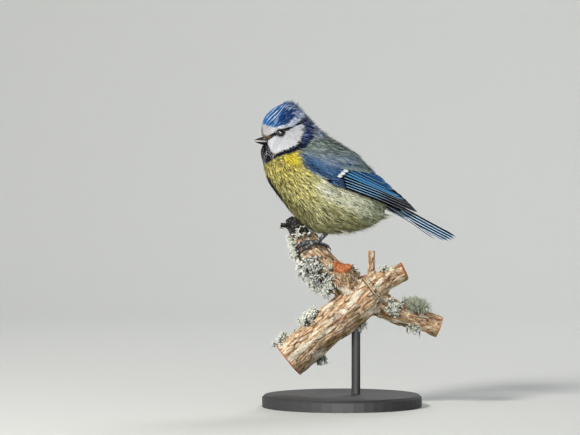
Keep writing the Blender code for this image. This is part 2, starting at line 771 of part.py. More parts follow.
def build_vent(torso):
    """Loose feathers under the tail's root."""
    vanes = []
    for start, end, across in VENT_FEATHERS:
        for side in ((-1.0, 1.0) if across else (1.0,)):
            def place(x, z, lift, y=side * across, first=start[0], last=end[0]):
                share = (x - first) / (last - first)
                return x, y * (1.0 - 0.4 * share) + lift, z
            vanes.append(blade("vent", start, end, -0.5, (0.9, 0.9), 0.0, 1.1, place, "body_yellow", COVERT_STOPS))
    boolean(torso, vanes, "UNION", "MANIFOLD")


# The toes lie on the gripped limb: where each ends, as (share along the limb, degrees round it).
FOOT_AT = {"left": (0.515, 56.0), "right": (0.495, -58.0)}
TOES = {
    "left": (("1", 0.665, 24.0), ("2", 0.410, 112.0), ("3", 0.455, 128.0), ("4", 0.530, 122.0)),
    "right": (("1", 0.640, -22.0), ("2", 0.395, -108.0), ("3", 0.440, -124.0), ("4", 0.520, -120.0)),
}
TOE_BEND = {"1": 0.0, "2": -0.030, "3": -0.035, "4": -0.020}
CLAW_TURN = {"1": (0.045, -6.0), "2": (0.035, 24.0), "3": (0.035, 26.0), "4": (0.035, 25.0)}


def build_legs():
    for side, word in ((-1.0, "left"), (1.0, "right")):
        share, angle = FOOT_AT[word]
        knuckle, out, _ = limb_point(LIMB_GRIPPED, share, angle, GAP + TOE_RADIUS * 1.25)
        top = Vector((TARSUS_TOP[0], side * LEG_Y, TARSUS_TOP[1]))
        toes = []
        for toe, end_share, end_angle in TOES[word]:
            path, radii = [], []
            for i in range(6):
                f = i / 5
                s = share + (end_share - share) * f + TOE_BEND[toe] * math.sin(math.pi * f)
                radius = TOE_RADIUS * (1.15 - 0.4 * f) * (1.0 + 0.10 * math.cos(3 * math.pi * f))
                a = angle + (end_angle - angle) * f
                path.append(tuple(limb_point(LIMB_GRIPPED, s, a, GAP + radius * 1.1)[0]))
                radii.append(radius)
            toes.append(tube("toe", path, radii, 5, "leg"))
            build_claw("claw_%s_%s" % (word, toe), toe, end_share, end_angle, math.copysign(1.0, angle))
        foot = sphere("foot_" + word, knuckle, TOE_RADIUS * 1.35, "leg", 8, 6)
        boolean(foot, toes, "UNION", "MANIFOLD")
        clean(foot)
        direction = (top - knuckle).normalized()
        start = knuckle + direction * (TOE_RADIUS * 1.35 + GAP)
        count = 5
        path = [tuple(start + (top - start) * (i / count)) for i in range(count + 1)]
        radii = [TARSUS_RADIUS * (1.1 - 0.3 * math.sin(math.pi * i / count)) for i in range(count + 1)]
        leg = tube("leg_" + word, path, radii, 10, "leg")
        boolean(leg, [body_object("hull", "body_yellow", GAP, GAP)], "DIFFERENCE")
        smooth_shading(leg)
        smooth_shading(foot)


def build_claw(name, toe, share, angle, side):
    """A curved claw from the end of a toe, down onto the bark."""
    path, radii = [], []
    turn_share, turn_angle = CLAW_TURN[toe]
    start, _, _ = limb_point(LIMB_GRIPPED, share, angle, GAP + TOE_RADIUS * 0.8)
    row = limb_point(LIMB_GRIPPED, share + turn_share * 0.1, angle + side * turn_angle * 0.1, GAP + TOE_RADIUS * 0.8)[0]
    offset = (row - start).normalized() * (GAP + 0.1)
    for i in range(5):
        f = i / 4
        radius = 0.42 * (1.0 - 0.72 * f)
        lift = GAP + radius + 0.9 * math.sin(math.pi * min(f * 1.1, 1.0)) * 0.6
        point, _, _ = limb_point(LIMB_GRIPPED, share + turn_share * f, angle + side * turn_angle * f, lift)
        path.append(tuple(point + offset))
        radii.append(radius)
    smooth_shading(tube(name, path, radii, 5, "claw"))


def build_perch():
    perch = limb("perch", LIMB_MAIN)
    others = [limb("limb", keys) for keys in (LIMB_GRIPPED, LIMB_SIDE, LIMB_SAWN, LIMB_STUB)]
    others += [tube("thin", [k[:3] for k in keys], [k[3] for k in keys], 8, "bark") for keys in (LIMB_SPUR, LIMB_TWIG)]
    boolean(perch, others, "UNION", "MANIFOLD")
    boolean(perch, [body_object("hull", "body_yellow", GAP, GAP)], "DIFFERENCE")
    return perch


def build_lichens(solids):
    rng = random.Random(LICHEN_SEED)
    for name, keys, share, degrees, count, length in LICHENS:
        root, out, axis = limb_point(keys, share, degrees, -1.0)
        clump = sphere("perch_lichen_" + name, root, length * 0.55, "lichen", 8, 6)
        lobes = []
        for i in range(count):
            turn = 2 * math.pi * i * 0.618
            lean = 1.15 * math.sqrt((i + 0.3) / count) * rng.uniform(0.7, 1.2)
            around = axis * math.cos(turn) + out.cross(axis) * math.sin(turn)
            direction = (out + around * lean + Vector((0.0, 0.0, -0.15))).normalized()
            reach = length * rng.uniform(0.7, 1.1)
            start = root + around * length * 0.3 * lean
            droop = Vector((0.0, 0.0, -0.22 * reach)) + around * reach * rng.uniform(-0.1, 0.2)
            path = [tuple(start + direction * reach * f + droop * f * f) for f in (0.0, 0.5, 1.0)]
            lobes.append(tube("lobe", path, [length * s for s in (0.16, 0.22, 0.10)], 4, "lichen"))
        boolean(clump, lobes, "UNION", "MANIFOLD")
        for solid in solids:
            hull = copy_object(solid, "hull")
            swell(hull, GAP)
            boolean(clump, [hull], "DIFFERENCE", "MANIFOLD")
        clean(clump)


def swell(obj, amount):
    """Moves every point of a mesh out along its normal."""
    bm = bmesh.new()
    bm.from_mesh(obj.data)
    bm.normal_update()
    moves = [(v, v.normal.copy()) for v in bm.verts]
    for vert, normal in moves:
        vert.co += normal * amount * 1.15 * MM
    bm.to_mesh(obj.data)
    bm.free()


def build_stand(perch):
    """A turned disc and one rod that reaches up to the underside of the main limb."""
    profile = ((BASE_RADIUS, 0.0), (BASE_RADIUS, BASE_HEIGHT - BASE_EDGE), (BASE_RADIUS - BASE_EDGE, BASE_HEIGHT))
    sides = 48
    rings = [[(r * math.cos(2 * math.pi * i / sides), r * math.sin(2 * math.pi * i / sides), z) for i in range(sides)]
             for r, z in profile]
    points, faces = loft(rings)
    smooth_shading(mesh_object("stand_base", points, faces, "stand"))
    tree = BVHTree.FromObject(perch, bpy.context.evaluated_depsgraph_get())
    x, y = ROD_AT
    ends = [tree.ray_cast(Vector((x + dx, y + dy, BASE_HEIGHT)) * MM, Vector((0.0, 0.0, 1.0)))[0].z / MM
            for dx in (-ROD_RADIUS, 0.0, ROD_RADIUS) for dy in (-ROD_RADIUS, 0.0, ROD_RADIUS)]
    rod = tube("stand_rod", [(x, y, BASE_HEIGHT + GAP), (x, y, max(ends) + 1.0)], [ROD_RADIUS] * 2, 20, "stand")
    hull = copy_object(perch, "hull")
    swell(hull, GAP)
    boolean(rod, [hull], "DIFFERENCE", "MANIFOLD")
    smooth_shading(rod)


def main():
    clear_scene()
    head, neck, torso, tree = build_body()
    build_bill(head)
    build_eyes(head, tree)
    build_crest(head, tree)
    build_vent(torso)
    build_wings(tree)
    build_tail()
    perch = build_perch()
    build_legs()
    touching = [o for o in bpy.data.objects if o.name.startswith(("foot_", "claw_"))]
    build_lichens([perch] + touching)
    build_stand(perch)
    for obj in (head, neck, torso, perch):
        clean(obj)
        smooth_shading(obj)


main()
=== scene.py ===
"""The looks of the blue tit display model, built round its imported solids.

Lengths and places are in millimetres until mesh_piece turns them into metres. The bird faces -X,
its left side faces -Y, and z is the height above the floor.
"""

import math

import bpy
import numpy as np
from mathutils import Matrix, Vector, noise
from mathutils.bvhtree import BVHTree


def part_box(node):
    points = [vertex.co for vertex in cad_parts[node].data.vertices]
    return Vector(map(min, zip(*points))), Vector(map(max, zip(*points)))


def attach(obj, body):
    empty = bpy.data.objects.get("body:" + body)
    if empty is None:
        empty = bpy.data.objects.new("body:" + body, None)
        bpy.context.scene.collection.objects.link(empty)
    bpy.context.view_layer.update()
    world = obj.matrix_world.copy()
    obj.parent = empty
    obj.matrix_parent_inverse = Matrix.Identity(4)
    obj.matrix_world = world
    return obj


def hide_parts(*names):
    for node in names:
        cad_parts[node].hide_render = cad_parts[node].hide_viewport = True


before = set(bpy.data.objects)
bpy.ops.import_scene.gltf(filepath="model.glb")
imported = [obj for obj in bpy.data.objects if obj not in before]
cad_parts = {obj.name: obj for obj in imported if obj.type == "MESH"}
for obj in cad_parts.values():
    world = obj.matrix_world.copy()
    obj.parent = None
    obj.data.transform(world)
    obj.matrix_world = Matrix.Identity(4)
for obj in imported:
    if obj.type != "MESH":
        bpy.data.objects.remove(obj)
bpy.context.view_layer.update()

MM = 0.001

# Places read from the frame
BILL_BOX = [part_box("bill_upper"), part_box("bill_lower")]
MOUTH_Z = (BILL_BOX[0][0].z + BILL_BOX[1][1].z) / 2 / MM
EYES = {}
for word in ("left", "right"):
    low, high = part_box("eye_" + word)
    EYES[word] = (np.array(low + high) / 2 / MM, (high.x - low.x) / 2 / MM)

# The coat: the gape, the vent's outline in (x, z), the ends of the feathers' flow, and its depth and reach
GAPE_X = -37.5
GAPE_HALF = 1.9
VENT_LINE = ((12.0, 88.8), (16.4, 91.0), (19.8, 93.6), (21.6, 96.4), (22.6, 99.8), (24.5, 101.2),
             (30.0, 102.0))
BILL_BASE = np.array((-38.0, 0.0, 133.4))
TAIL_END = np.array((42.0, 0.0, 94.0))
FACE_DEPTH = 0.4
BODY_DEPTH = 1.6
FACE_REACH = 3.0
BODY_REACH = 34.0
BODY_MIDDLE = np.array((-5.0, 0.0, 115.0))

# Half lengths of the almond round the eye: its lids' edge, and the dark feathers outside them
LID_LONG = 2.15
LID_TALL = 1.42
LID_BAR = 0.22
RING_LONG = 2.85
RING_TALL = 1.85
STRIPE_TILT = math.radians(22.0)


def srgb(red, green, blue):
    """A linear colour from 0 to 255 values as they look on a screen."""
    values = np.array((red, green, blue)) / 255.0
    return np.where(values <= 0.04045, values / 12.92, ((values + 0.055) / 1.055) ** 2.4)


def smooth_step(low, high, value):
    """0 before low and 1 after high, with a soft ramp between them. Low may be the larger of the two."""
    t = np.clip((np.asarray(value, dtype=float) - low) / (high - low), 0.0, 1.0)
    return t * t * (3.0 - 2.0 * t)


def unit(vectors):
    """Vectors of length one."""
    return vectors / np.maximum(np.linalg.norm(vectors, axis=-1, keepdims=True), 1e-9)


def mix(first, second, share):
    """Colours between two, where share is one number or one for each point."""
    share = np.asarray(share)[..., None]
    return first * (1.0 - share) + second * share


def edge_height(keys, x):
    """The height at x of a line through (x, height) keys."""
    return np.interp(x, [key[0] for key in keys], [key[1] for key in keys])


def band(value, low, high, soft):
    """1 between low and high and 0 outside them, with soft edges."""
    return smooth_step(low - soft, low + soft, value) * (1.0 - smooth_step(high - soft, high + soft, value))


def eye_frame(word):
    """An eye's centre, radius, outward direction, the way of the eye stripe, and the way up."""
    centre, radius = EYES[word]
    side = -1.0 if word == "left" else 1.0
    out = unit(np.array((-0.16, side, 0.04)))
    along = np.array((math.cos(STRIPE_TILT), 0.0, math.sin(STRIPE_TILT)))
    along = unit(along - out * (along @ out))
    up = np.cross(out, along) * side * -1.0
    if up[2] < 0:
        up = -up
    return centre, radius, out, along, up


# Meshes
def grid_faces(rows, columns, closed=True):
    """Triangles between neighbouring rows of points, closed round each row or open at its ends."""
    faces = []
    for row in range(rows - 1):
        for k in range(columns if closed else columns - 1):
            a = row * columns + k
            b = row * columns + (k + 1) % columns
            faces += [(a, b, b + columns), (a, b + columns, a + columns)]
    return faces


def mesh_piece(name, points, faces, materials, colours=None, uv=None, smooth=True, extra=None):
    """An object from points in millimetres and an array of faces with equal corner counts."""
    mesh = bpy.data.meshes.new(name)
    points = np.asarray(points, dtype=np.float32) * MM
    faces = np.asarray(faces, dtype=np.int32)
    count, corners = faces.shape
    mesh.vertices.add(len(points))
    mesh.vertices.foreach_set("co", points.ravel())
    mesh.loops.add(count * corners)
    mesh.loops.foreach_set("vertex_index", faces.ravel())
    mesh.polygons.add(count)
    mesh.polygons.foreach_set("loop_start", np.arange(count, dtype=np.int32) * corners)
    mesh.update(calc_edges=True)
    if smooth:
        mesh.shade_smooth()
    if colours is not None:
        layer = mesh.color_attributes.new("plumage", "FLOAT_COLOR", "POINT")
        rgba = np.ones((len(points), 4), dtype=np.float32)
        rgba[:, :3] = colours
        layer.data.foreach_set("color", rgba.ravel())
    if uv is not None:
        layer = mesh.uv_layers.new(name="OFBake")
        layer.uv.foreach_set("vector", np.asarray(uv, dtype=np.float32)[faces.ravel()].ravel())
    for label, values in (extra or {}).items():
        values = np.asarray(values, dtype=np.float32)
        kind, field = ("FLOAT", "value") if values.ndim == 1 else ("FLOAT_VECTOR", "vector")
        mesh.attributes.new(label, kind, "POINT").data.foreach_set(field, values.ravel())
    mesh.materials.append(materials)
    obj = bpy.data.objects.new(name, mesh)
    bpy.context.scene.collection.objects.link(obj)
    return obj


def node_points(names, push=0.0):
    """Points and triangles of CAD nodes in millimetres, moved out along their normals."""
    all_points, all_faces, start = [], [], 0
    for name in names:
        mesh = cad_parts[name].data
        mesh.calc_loop_triangles()
        points = np.array([v.co for v in mesh.vertices]) / MM
        faces = np.array([t.vertices for t in mesh.loop_triangles])
        points, faces = weld(points, faces)
        if push:
            points = points + point_normals(points, faces) * push
        all_points.append(points)
        all_faces.append(faces + start)
        start += len(points)
    return np.vstack(all_points), np.vstack(all_faces)


def weld(points, faces):
    """Joins points that share a place, because the frame's meshes are split along sharp edges."""
    keys = np.round(points / 0.0005).astype(np.int64)
    _, first, inverse = np.unique(keys, axis=0, return_index=True, return_inverse=True)
    faces = inverse.reshape(-1)[faces]
    good = (faces[:, 0] != faces[:, 1]) & (faces[:, 1] != faces[:, 2]) & (faces[:, 0] != faces[:, 2])
    return points[first], faces[good]


def point_normals(points, faces):
    """The outward direction at each point of a mesh."""
    normals = np.zeros_like(points)
    corners = points[faces]
    across = np.cross(corners[:, 1] - corners[:, 0], corners[:, 2] - corners[:, 0])
    for corner in range(3):
        np.add.at(normals, faces[:, corner], across)
    return unit(normals)


def evaluated(obj):
    """Points and triangles of an object with its modifiers, in millimetres."""
    graph = bpy.context.evaluated_depsgraph_get()
    graph.update()
    mesh = obj.evaluated_get(graph).to_mesh()
    mesh.calc_loop_triangles()
    points = np.empty(len(mesh.vertices) * 3, dtype=np.float32)
    mesh.vertices.foreach_get("co", points)
    faces = np.empty(len(mesh.loop_triangles) * 3, dtype=np.int32)
    mesh.loop_triangles.foreach_get("vertices", faces)
    obj.evaluated_get(graph).to_mesh_clear()
    return points.reshape(-1, 3).astype(float) / MM, faces.reshape(-1, 3)


def remeshed(points, faces, voxel, rounds):
    """One even, closed surface round a set of solids, smoothed."""
    obj = mesh_piece("remesh", points, faces, None)
    modifier = obj.modifiers.new("remesh", "REMESH")
    modifier.mode = "VOXEL"
    modifier.voxel_size = voxel * MM
    if rounds:
        modifier = obj.modifiers.new("smooth", "SMOOTH")
        modifier.factor = 0.5
        modifier.iterations = rounds
    result = evaluated(obj)
    bpy.data.objects.remove(obj, do_unlink=True)
    return result


def tree_of(points, faces):
    return BVHTree.FromPolygons([tuple(p) for p in points], [tuple(f) for f in faces])


def nearest(tree, points):
    """The nearest places on a surface and their normals."""
    places = np.empty_like(points)
    normals = np.empty_like(points)
    for i, point in enumerate(points):
        place, normal, _, _ = tree.find_nearest(point)
        places[i] = place
        normals[i] = normal
    return places, normals


def noise_at(points, scale, offset=0.0, octaves=1):
    """Smooth noise from about -1 to 1 at points."""
    shift = Vector((offset, offset, offset))
    if octaves == 1:
        return np.array([noise.noise(Vector(p) + shift) for p in points * scale])
    return np.array([noise.fractal(Vector(p) + shift, 0.6, 2.1, octaves) for p in points * scale])


def pressed(points, ways, keep):
    """Points pressed together along a direction, so that noise read there runs in streaks along it."""
    off = points - BODY_MIDDLE
    return off - ways * (np.sum(off * ways, axis=1) * (1.0 - keep))[:, None]


# Markings of the plumage, as outlines in the mid plane (x, z), so that they are the same on both sides.
# STRIPE, WHISK, KEEL and WING_RIM are lines with half widths at their points.
CAP_EDGE = ((-46.0, 140.9), (-40.8, 140.9), (-39.9, 142.0), (-38.4, 141.9), (-36.6, 140.9), (-32.7, 140.5),
            (-29.6, 141.4), (-26.6, 142.2), (-24.6, 143.5), (-22.8, 145.2), (-21.6, 147.6), (-21.0, 150.0),
            (-20.8, 157.0), (-46.0, 157.0))
STRIPE = ((-37.6, 134.2), (-35.4, 135.3), (-33.4, 136.5), (-31.0, 137.4), (-28.2, 138.3), (-26.2, 139.3),
          (-23.4, 140.6), (-19.6, 142.2), (-16.4, 143.4))
STRIPE_HALF = (1.0, 1.05, 1.0, 1.0, 0.95, 0.9, 0.5, 0.7, 0.35)
WHISK = (((-20.5, 142.6), (-17.4, 143.2), (-14.6, 142.8)), (0.2, 0.4, 0.3))
COLLAR = ((-21.4, 142.2), (-17.6, 144.8), (-14.6, 142.8), (-12.6, 139.4), (-13.0, 134.6), (-16.0, 130.6),
          (-20.2, 128.4), (-25.4, 126.8), (-30.6, 125.4), (-33.4, 123.8), (-34.2, 125.8), (-31.0, 127.4),
          (-26.6, 129.0), (-22.4, 130.6), (-20.4, 132.6), (-18.6, 135.9), (-17.8, 139.8), (-17.9, 141.4))
COLLAR_REAR = ((-17.4, 144.4), (-14.8, 142.4), (-12.8, 139.0), (-13.6, 134.4), (-16.6, 131.4), (-19.0, 131.6),
               (-18.2, 136.0), (-17.4, 140.4))
BIB = ((-37.6, 132.0), (-36.2, 130.2), (-34.6, 127.6), (-33.0, 125.6), (-33.0, 123.9), (-35.4, 122.4),
       (-37.6, 121.2), (-39.4, 120.8), (-46.0, 120.0), (-46.0, 132.0))
NAPE = ((-17.6, 146.5), (-13.0, 146.0), (-5.0, 139.0), (-6.5, 135.4), (-10.5, 134.0), (-13.4, 136.4),
        (-13.4, 141.0))
MANTLE_EDGE = ((-22.0, 128.0), (-18.6, 131.5), (-15.8, 136.5), (-15.0, 142.0), (-10.0, 146.0), (50.0, 146.0),
               (50.0, 100.0), (27.0, 104.0), (20.0, 107.0), (10.0, 112.0), (0.0, 113.0), (-12.0, 116.0),
               (-18.6, 121.6), (-19.6, 125.0))
BREAST_PATCH = ((-25.4, 127.0), (-20.4, 128.6), (-19.4, 125.6), (-18.0, 121.6), (-21.6, 119.0),
                (-25.6, 121.0), (-28.4, 123.4), (-28.4, 125.6))
KEEL = (((-37.4, 114.6), (-35.8, 111.0), (-33.2, 107.2), (-29.6, 101.6), (-26.0, 96.4)),
        (0.3, 0.9, 1.2, 1.2, 1.0))
WING_RIM = (((-24.5, 122.8), (-17.5, 118.0), (-12.5, 114.4), (-8.0, 112.2)), (0.6, 1.0, 1.0, 0.5))
HEAD_AREA = ((-46.0, 160.0), (-46.0, 130.0), (-37.4, 131.0), (-34.6, 126.6), (-29.0, 127.0), (-21.4, 130.6),
             (-18.0, 136.0), (-17.6, 141.5), (-15.2, 143.6), (-16.8, 147.0), (-18.0, 160.0))

WHITE = srgb(224, 226, 231)
WHITE_SHADE = srgb(186, 190, 206)
CAP_DEEP = srgb(14, 58, 122)
CAP_AZURE = srgb(26, 104, 168)
CAP_FRONT = srgb(54, 134, 218)
CAP_PALE = srgb(192, 216, 246)
NAVY = srgb(14, 20, 44)
COLLAR_BLUE = srgb(24, 44, 92)
COLLAR_PALE = srgb(132, 152, 198)
BLACK = srgb(10, 10, 16)
NAPE_GREY = srgb(128, 142, 172)
MANTLE_GREEN = srgb(101, 119, 105)
MANTLE_GREY = srgb(168, 182, 184)
SHOULDER_GREY = srgb(128, 150, 178)
YELLOW = srgb(230, 214, 122)
YELLOW_BRIGHT = srgb(240, 214, 40)
OLIVE = srgb(98, 94, 42)
BELLY = srgb(204, 199, 136)
FLANK = srgb(250, 252, 218)
FLANK_GREY = srgb(186, 194, 168)
VENT_BUFF = srgb(224, 226, 192)
RUMP_GREEN = srgb(112, 124, 96)
SHOULDER_PALE = srgb(164, 180, 192)
LORES_BLACK = srgb(22, 17, 14)
LORES_BROWN = srgb(170, 146, 110)
COVERT_BLUE = srgb(46, 96, 142)
COVERT_DEEP = srgb(12, 26, 58)

# What each area lays over the plumage: a main colour and its share, then a streak colour and its share
ZONES = {
    "breast": (YELLOW, 0.9, None, 0.0),
    "side": (srgb(238, 232, 168), 0.6, None, 0.0),
    "low": (srgb(206, 206, 160), 0.75, srgb(124, 124, 80), 0.7),
    # painted shadow for the low front of the belly
    "shade": (srgb(146, 138, 92), 0.6, srgb(60, 58, 32), 0.6),
    "flank": (FLANK, 0.95, FLANK_GREY, 0.8),
    "rear": (srgb(188, 198, 166), 0.8, srgb(108, 118, 94), 0.8),
    "wing_rim": (YELLOW, 0.5, None, 0.0),
    "vent": (VENT_BUFF, 0.95, srgb(86, 88, 58), 0.8),
    "keel": (srgb(16, 18, 20), 1.0, srgb(84, 86, 60), 1.0),
    "rump": (RUMP_GREEN, 0.6, None, 0.0),
    "nape": (NAPE_GREY, 0.8, srgb(206, 214, 236), 0.8),
    "wing_front": (COVERT_BLUE, 0.9, COVERT_DEEP, 0.9),
    "breast_patch": (YELLOW_BRIGHT, 0.75, srgb(150, 136, 40), 0.5),
    "head": (WHITE, 1.0, WHITE_SHADE, 1.0),
    "brow": (srgb(226, 234, 248), 0.9, srgb(136, 158, 196), 1.0),
    "forehead": (srgb(202, 202, 204), 1.0, srgb(158, 161, 170), 1.0),
    "behind": (srgb(212, 226, 250), 0.9, srgb(76, 100, 160), 1.0),
    "whisk": (srgb(196, 206, 222), 1.0, None, 0.0),
    "bib": (BLACK, 1.0, srgb(236, 239, 248), 1.0),
    "ring": (BLACK, 1.0, NAVY, 1.0),
    "nostril": (srgb(182, 158, 128), 0.85, srgb(30, 24, 22), 0.9),
}


def edge_distance(points, outline):
    """Signed distance from (x, z) points to an outline, above zero inside it."""
    corners = np.array(outline)
    best = np.full(len(points), 1e9)
    inside = np.zeros(len(points), dtype=bool)
    for a, b in zip(corners, np.roll(corners, -1, axis=0)):
        edge = b - a
        share = np.clip(((points - a) @ edge) / (edge @ edge), 0.0, 1.0)
        best = np.minimum(best, np.linalg.norm(points - a - share[:, None] * edge, axis=1))
        above = (a[1] > points[:, 1]) != (b[1] > points[:, 1])
        with np.errstate(divide="ignore", invalid="ignore"):
            crossing = points[:, 0] < edge[0] * (points[:, 1] - a[1]) / edge[1] + a[0]
        inside ^= above & crossing
    return np.where(inside, best, -best)


def line_distance(points, line, halves):
    """Distance from points to a line less the line's half width there."""
    best = np.full(len(points), 1e9)
    for (a, b), (ha, hb) in zip(zip(line, line[1:]), zip(halves, halves[1:])):
        a, b = np.array(a), np.array(b)
        edge = b - a
        share = np.clip(((points - a) @ edge) / (edge @ edge), 0.0, 1.0)
        gap = np.linalg.norm(points - a - share[:, None] * edge, axis=1) - (ha + (hb - ha) * share)
        best = np.minimum(best, gap)
    return best


def plumage(points):
    """The plumage's main colour, its streak colour and how streaky it is, at points on the body."""
    flat = points[:, (0, 2)]
    x, y, z = points.T
    beside = np.abs(y)
    main = np.tile(BELLY, (len(points), 1))
    streak = np.tile(OLIVE, (len(points), 1))
    amount = np.full(len(points), 0.40)

    def area(outline, soft):
        return smooth_step(-soft, soft, edge_distance(flat, outline))

    def paint(zone, share):
        nonlocal main, streak
        colour, colour_share, streaks, streaks_share = ZONES[zone]
        main = mix(main, colour, share * colour_share)
        if streaks is not None:
            streak = mix(streak, streaks, share * streaks_share)
        return share

    # The belly side: yellow breast, paler olive belly, whitish flank under the wing, buff vent, painted
    # shadow low on the front of the belly, and a dark belly line that is partly painted shade
    paint("breast", smooth_step(100.0, 116.0, z + 0.45 * (x + 20.0)))
    paint("side", smooth_step(-24.0, -17.0, x) * smooth_step(103.0, 109.0, z))
    paint("low", smooth_step(-22.0, -4.0, x + 0.3 * (112.0 - z)) * smooth_step(112.0, 98.0, z))
    # Painted shadow: the low front of the belly is darkened
    paint("shade", smooth_step(-10.0, -18.0, x) * smooth_step(101.0, 95.0, z))
    flank = paint("flank", smooth_step(-15.0, -7.0, x) * smooth_step(97.0, 103.5, z + 0.45 * x))
    amount = amount - 0.16 * flank
    paint("rear", smooth_step(8.0, 18.0, x) * smooth_step(88.0, 95.0, z))
    paint("wing_rim", smooth_step(0.9, -0.5, line_distance(flat, *WING_RIM)))
    paint("vent", smooth_step(14.0, 22.0, x - 0.8 * (z - 92.0)))
    # The dark belly line, widened to reach the outline, is partly the bird's dark stripe and partly painted
    # shade along the front of the belly
    keel = paint("keel", smooth_step(13.0, 9.0, beside) * smooth_step(0.6, -0.4, line_distance(flat, *KEEL)))
    amount = amount - 0.15 * keel

    # The back: green mantle, bluer shoulder over the wing, olive rump, grey nape, and the yellow breast patch
    back = area(MANTLE_EDGE, 0.9)
    shoulder = smooth_step(6.5, 0.0, z - (122.5 - 0.08 * (x - 2.0))) * smooth_step(16.0, 6.0, x)
    main = mix(main, mix(MANTLE_GREEN, SHOULDER_GREY, shoulder * 0.85), back)
    streak = mix(streak, mix(MANTLE_GREY, SHOULDER_PALE, shoulder * 0.7), back)
    amount = amount * (1.0 - back) + 0.45 * back
    paint("rump", back * smooth_step(16.0, 24.0, x))
    paint("nape", area(NAPE, 1.8))
    paint("wing_front", area(WING_OUTLINE, 0.5) * smooth_step(-8.5, -12.5, x))
    patch = paint("breast_patch", area(BREAST_PATCH, 2.4))
    amount = amount * (1.0 - 0.5 * patch)

    # The head's white ground, greyer over the bill and streaked behind the cap
    head = paint("head", smooth_step(-0.8, 0.8, edge_distance(flat, HEAD_AREA)))
    amount = amount * (1.0 - head) + 0.25 * head
    brow = paint("brow", head * smooth_step(-35.0, -30.0, x) * smooth_step(139.4, 141.4, z))
    amount = amount + 0.02 * brow
    paint("forehead", head * smooth_step(-33.5, -36.0, x) * smooth_step(134.5, 136.0, z))
    behind = paint("behind", head * smooth_step(-26.5, -21.5, x) * smooth_step(141.2, 143.8, z))
    amount = amount + 0.13 * behind

    # The cap: azure low down, deep blue behind, and palest blue in front and along its ridge, a painted
    # highlight where light catches the cap's outline
    cap = area(CAP_EDGE, 0.5)
    forward = x - 0.35 * (z - 145.0)
    # Painted highlight: the cap's front and the ridge along its top are paler, lighting its outline
    ridge = smooth_step(3.4, 1.6, beside) * smooth_step(-24.5, -29.0, x)
    front = np.maximum(smooth_step(-35.0, -40.0, forward), 0.85 * ridge)
    lower = smooth_step(144.5, 141.5, z) * smooth_step(-27.0, -31.0, x)
    lower = np.maximum(lower, 0.8 * smooth_step(-28.5, -33.0, forward))
    main = mix(main, mix(mix(CAP_DEEP, CAP_AZURE, lower), CAP_FRONT, front), cap)
    streak = mix(streak, CAP_PALE, cap)
    plain = smooth_step(-40.0, -38.0, x) * smooth_step(146.0, 143.5, z)
    pale = np.maximum(smooth_step(-29.0, -32.0, x) * (1.0 - 0.8 * plain), smooth_step(147.5, 150.0, z))
    pale = np.maximum(pale, smooth_step(-24.5, -21.5, x))
    amount = amount * (1.0 - cap) + (0.08 + 0.27 * pale) * cap

    # Collar, bib, eye stripe, lores, the dark ring round the eye, and the nostril's brown feathers
    collar = area(COLLAR, 0.45)
    rear_collar = area(COLLAR_REAR, 1.0)
    main = mix(main, mix(NAVY, COLLAR_BLUE, rear_collar), collar)
    streak = mix(streak, mix(NAVY, COLLAR_PALE, rear_collar), collar)
    amount = amount * (1.0 - collar) + (0.22 + 0.16 * rear_collar * smooth_step(134.0, 139.0, z)) * collar
    paint("whisk", smooth_step(0.2, -0.2, line_distance(flat, *WHISK)))
    bib = paint("bib", area(BIB, 0.45))
    chin = smooth_step(131.0, 124.0, z)
    amount = amount * (1.0 - bib) + (0.13 + 0.13 * chin) * bib
    stripe = smooth_step(0.22, -0.22, line_distance(flat, STRIPE, STRIPE_HALF))
    stripe = stripe * smooth_step(2.2, 3.2, beside)
    lores = stripe * smooth_step(-33.0, -35.5, x)
    main = mix(main, mix(BLACK, LORES_BLACK, lores), stripe)
    streak = mix(streak, mix(NAVY, LORES_BROWN, lores), stripe)
    amount = amount * (1.0 - 0.45 * lores)
    paint("ring", eye_ring(points))
    nostril = paint("nostril", smooth_step(2.0, 1.1, np.hypot(x + 38.2, 1.4 * (z - 135.2))))
    amount = amount + 0.15 * nostril
    return main, streak, amount


def eye_ring(points):
    """1 in the dark almond round each eye, and 0 outside it."""
    ring = np.zeros(len(points))
    for word in EYES:
        centre, _, out, along, up = eye_frame(word)
        off = points - centre
        reach = np.hypot(off @ along / RING_LONG, off @ up / RING_TALL)
        ring = np.maximum(ring, smooth_step(1.08, 0.94, reach) * (off @ out > 0.0))
    return ring


def coat_share(points):
    """0 at the bill and 1 over the body: how long and deep the coat is."""
    return smooth_step(FACE_REACH, BODY_REACH, np.linalg.norm(points - BILL_BASE, axis=1))


def coat_depth(points):
    """How far the skin lies inside the solids: least on the face, and close under the forehead."""
    forehead = smooth_step(-31.5, -36.5, points[:, 0]) * smooth_step(133.5, 136.0, points[:, 2])
    return (FACE_DEPTH + (BODY_DEPTH - FACE_DEPTH) * coat_share(points)) * (1.0 - 0.85 * forehead)


# How steeply the crown's feathers rise, in degrees, along x
CROWN_LEAN = ((-41.0, 66.0), (-36.0, 54.0), (-31.0, 46.0), (-27.0, 36.0), (-23.0, 14.0), (-19.0, -16.0),
              (-15.0, -38.0))


def along_surface(ways, normals):
    """Directions laid flat on a surface."""
    return unit(ways - normals * np.sum(ways * normals, axis=1, keepdims=True))


def lie(points, normals):
    """The direction in which the feathers lie: away from the bill, and towards the tail."""
    from_bill = unit(points - BILL_BASE)
    to_tail = unit(TAIL_END - points)
    upper = smooth_step(-2.0, 8.0, points[:, 2] - (125.0 - 0.417 * (points[:, 0] + 30.0)))
    flow = from_bill * 1.2 + to_tail * (0.4 + 1.2 * upper[:, None])
    flow[:, 2] -= 0.12
    flow[:, 1] *= 0.8
    lean = np.radians(edge_height(CROWN_LEAN, points[:, 0]))
    rise = np.stack((np.cos(lean), np.zeros(len(lean)), np.sin(lean)), axis=1)
    crown = smooth_step(138.0, 141.5, points[:, 2]) * smooth_step(-14.0, -19.0, points[:, 0])
    return along_surface(mix(unit(flow), rise, crown), normals)


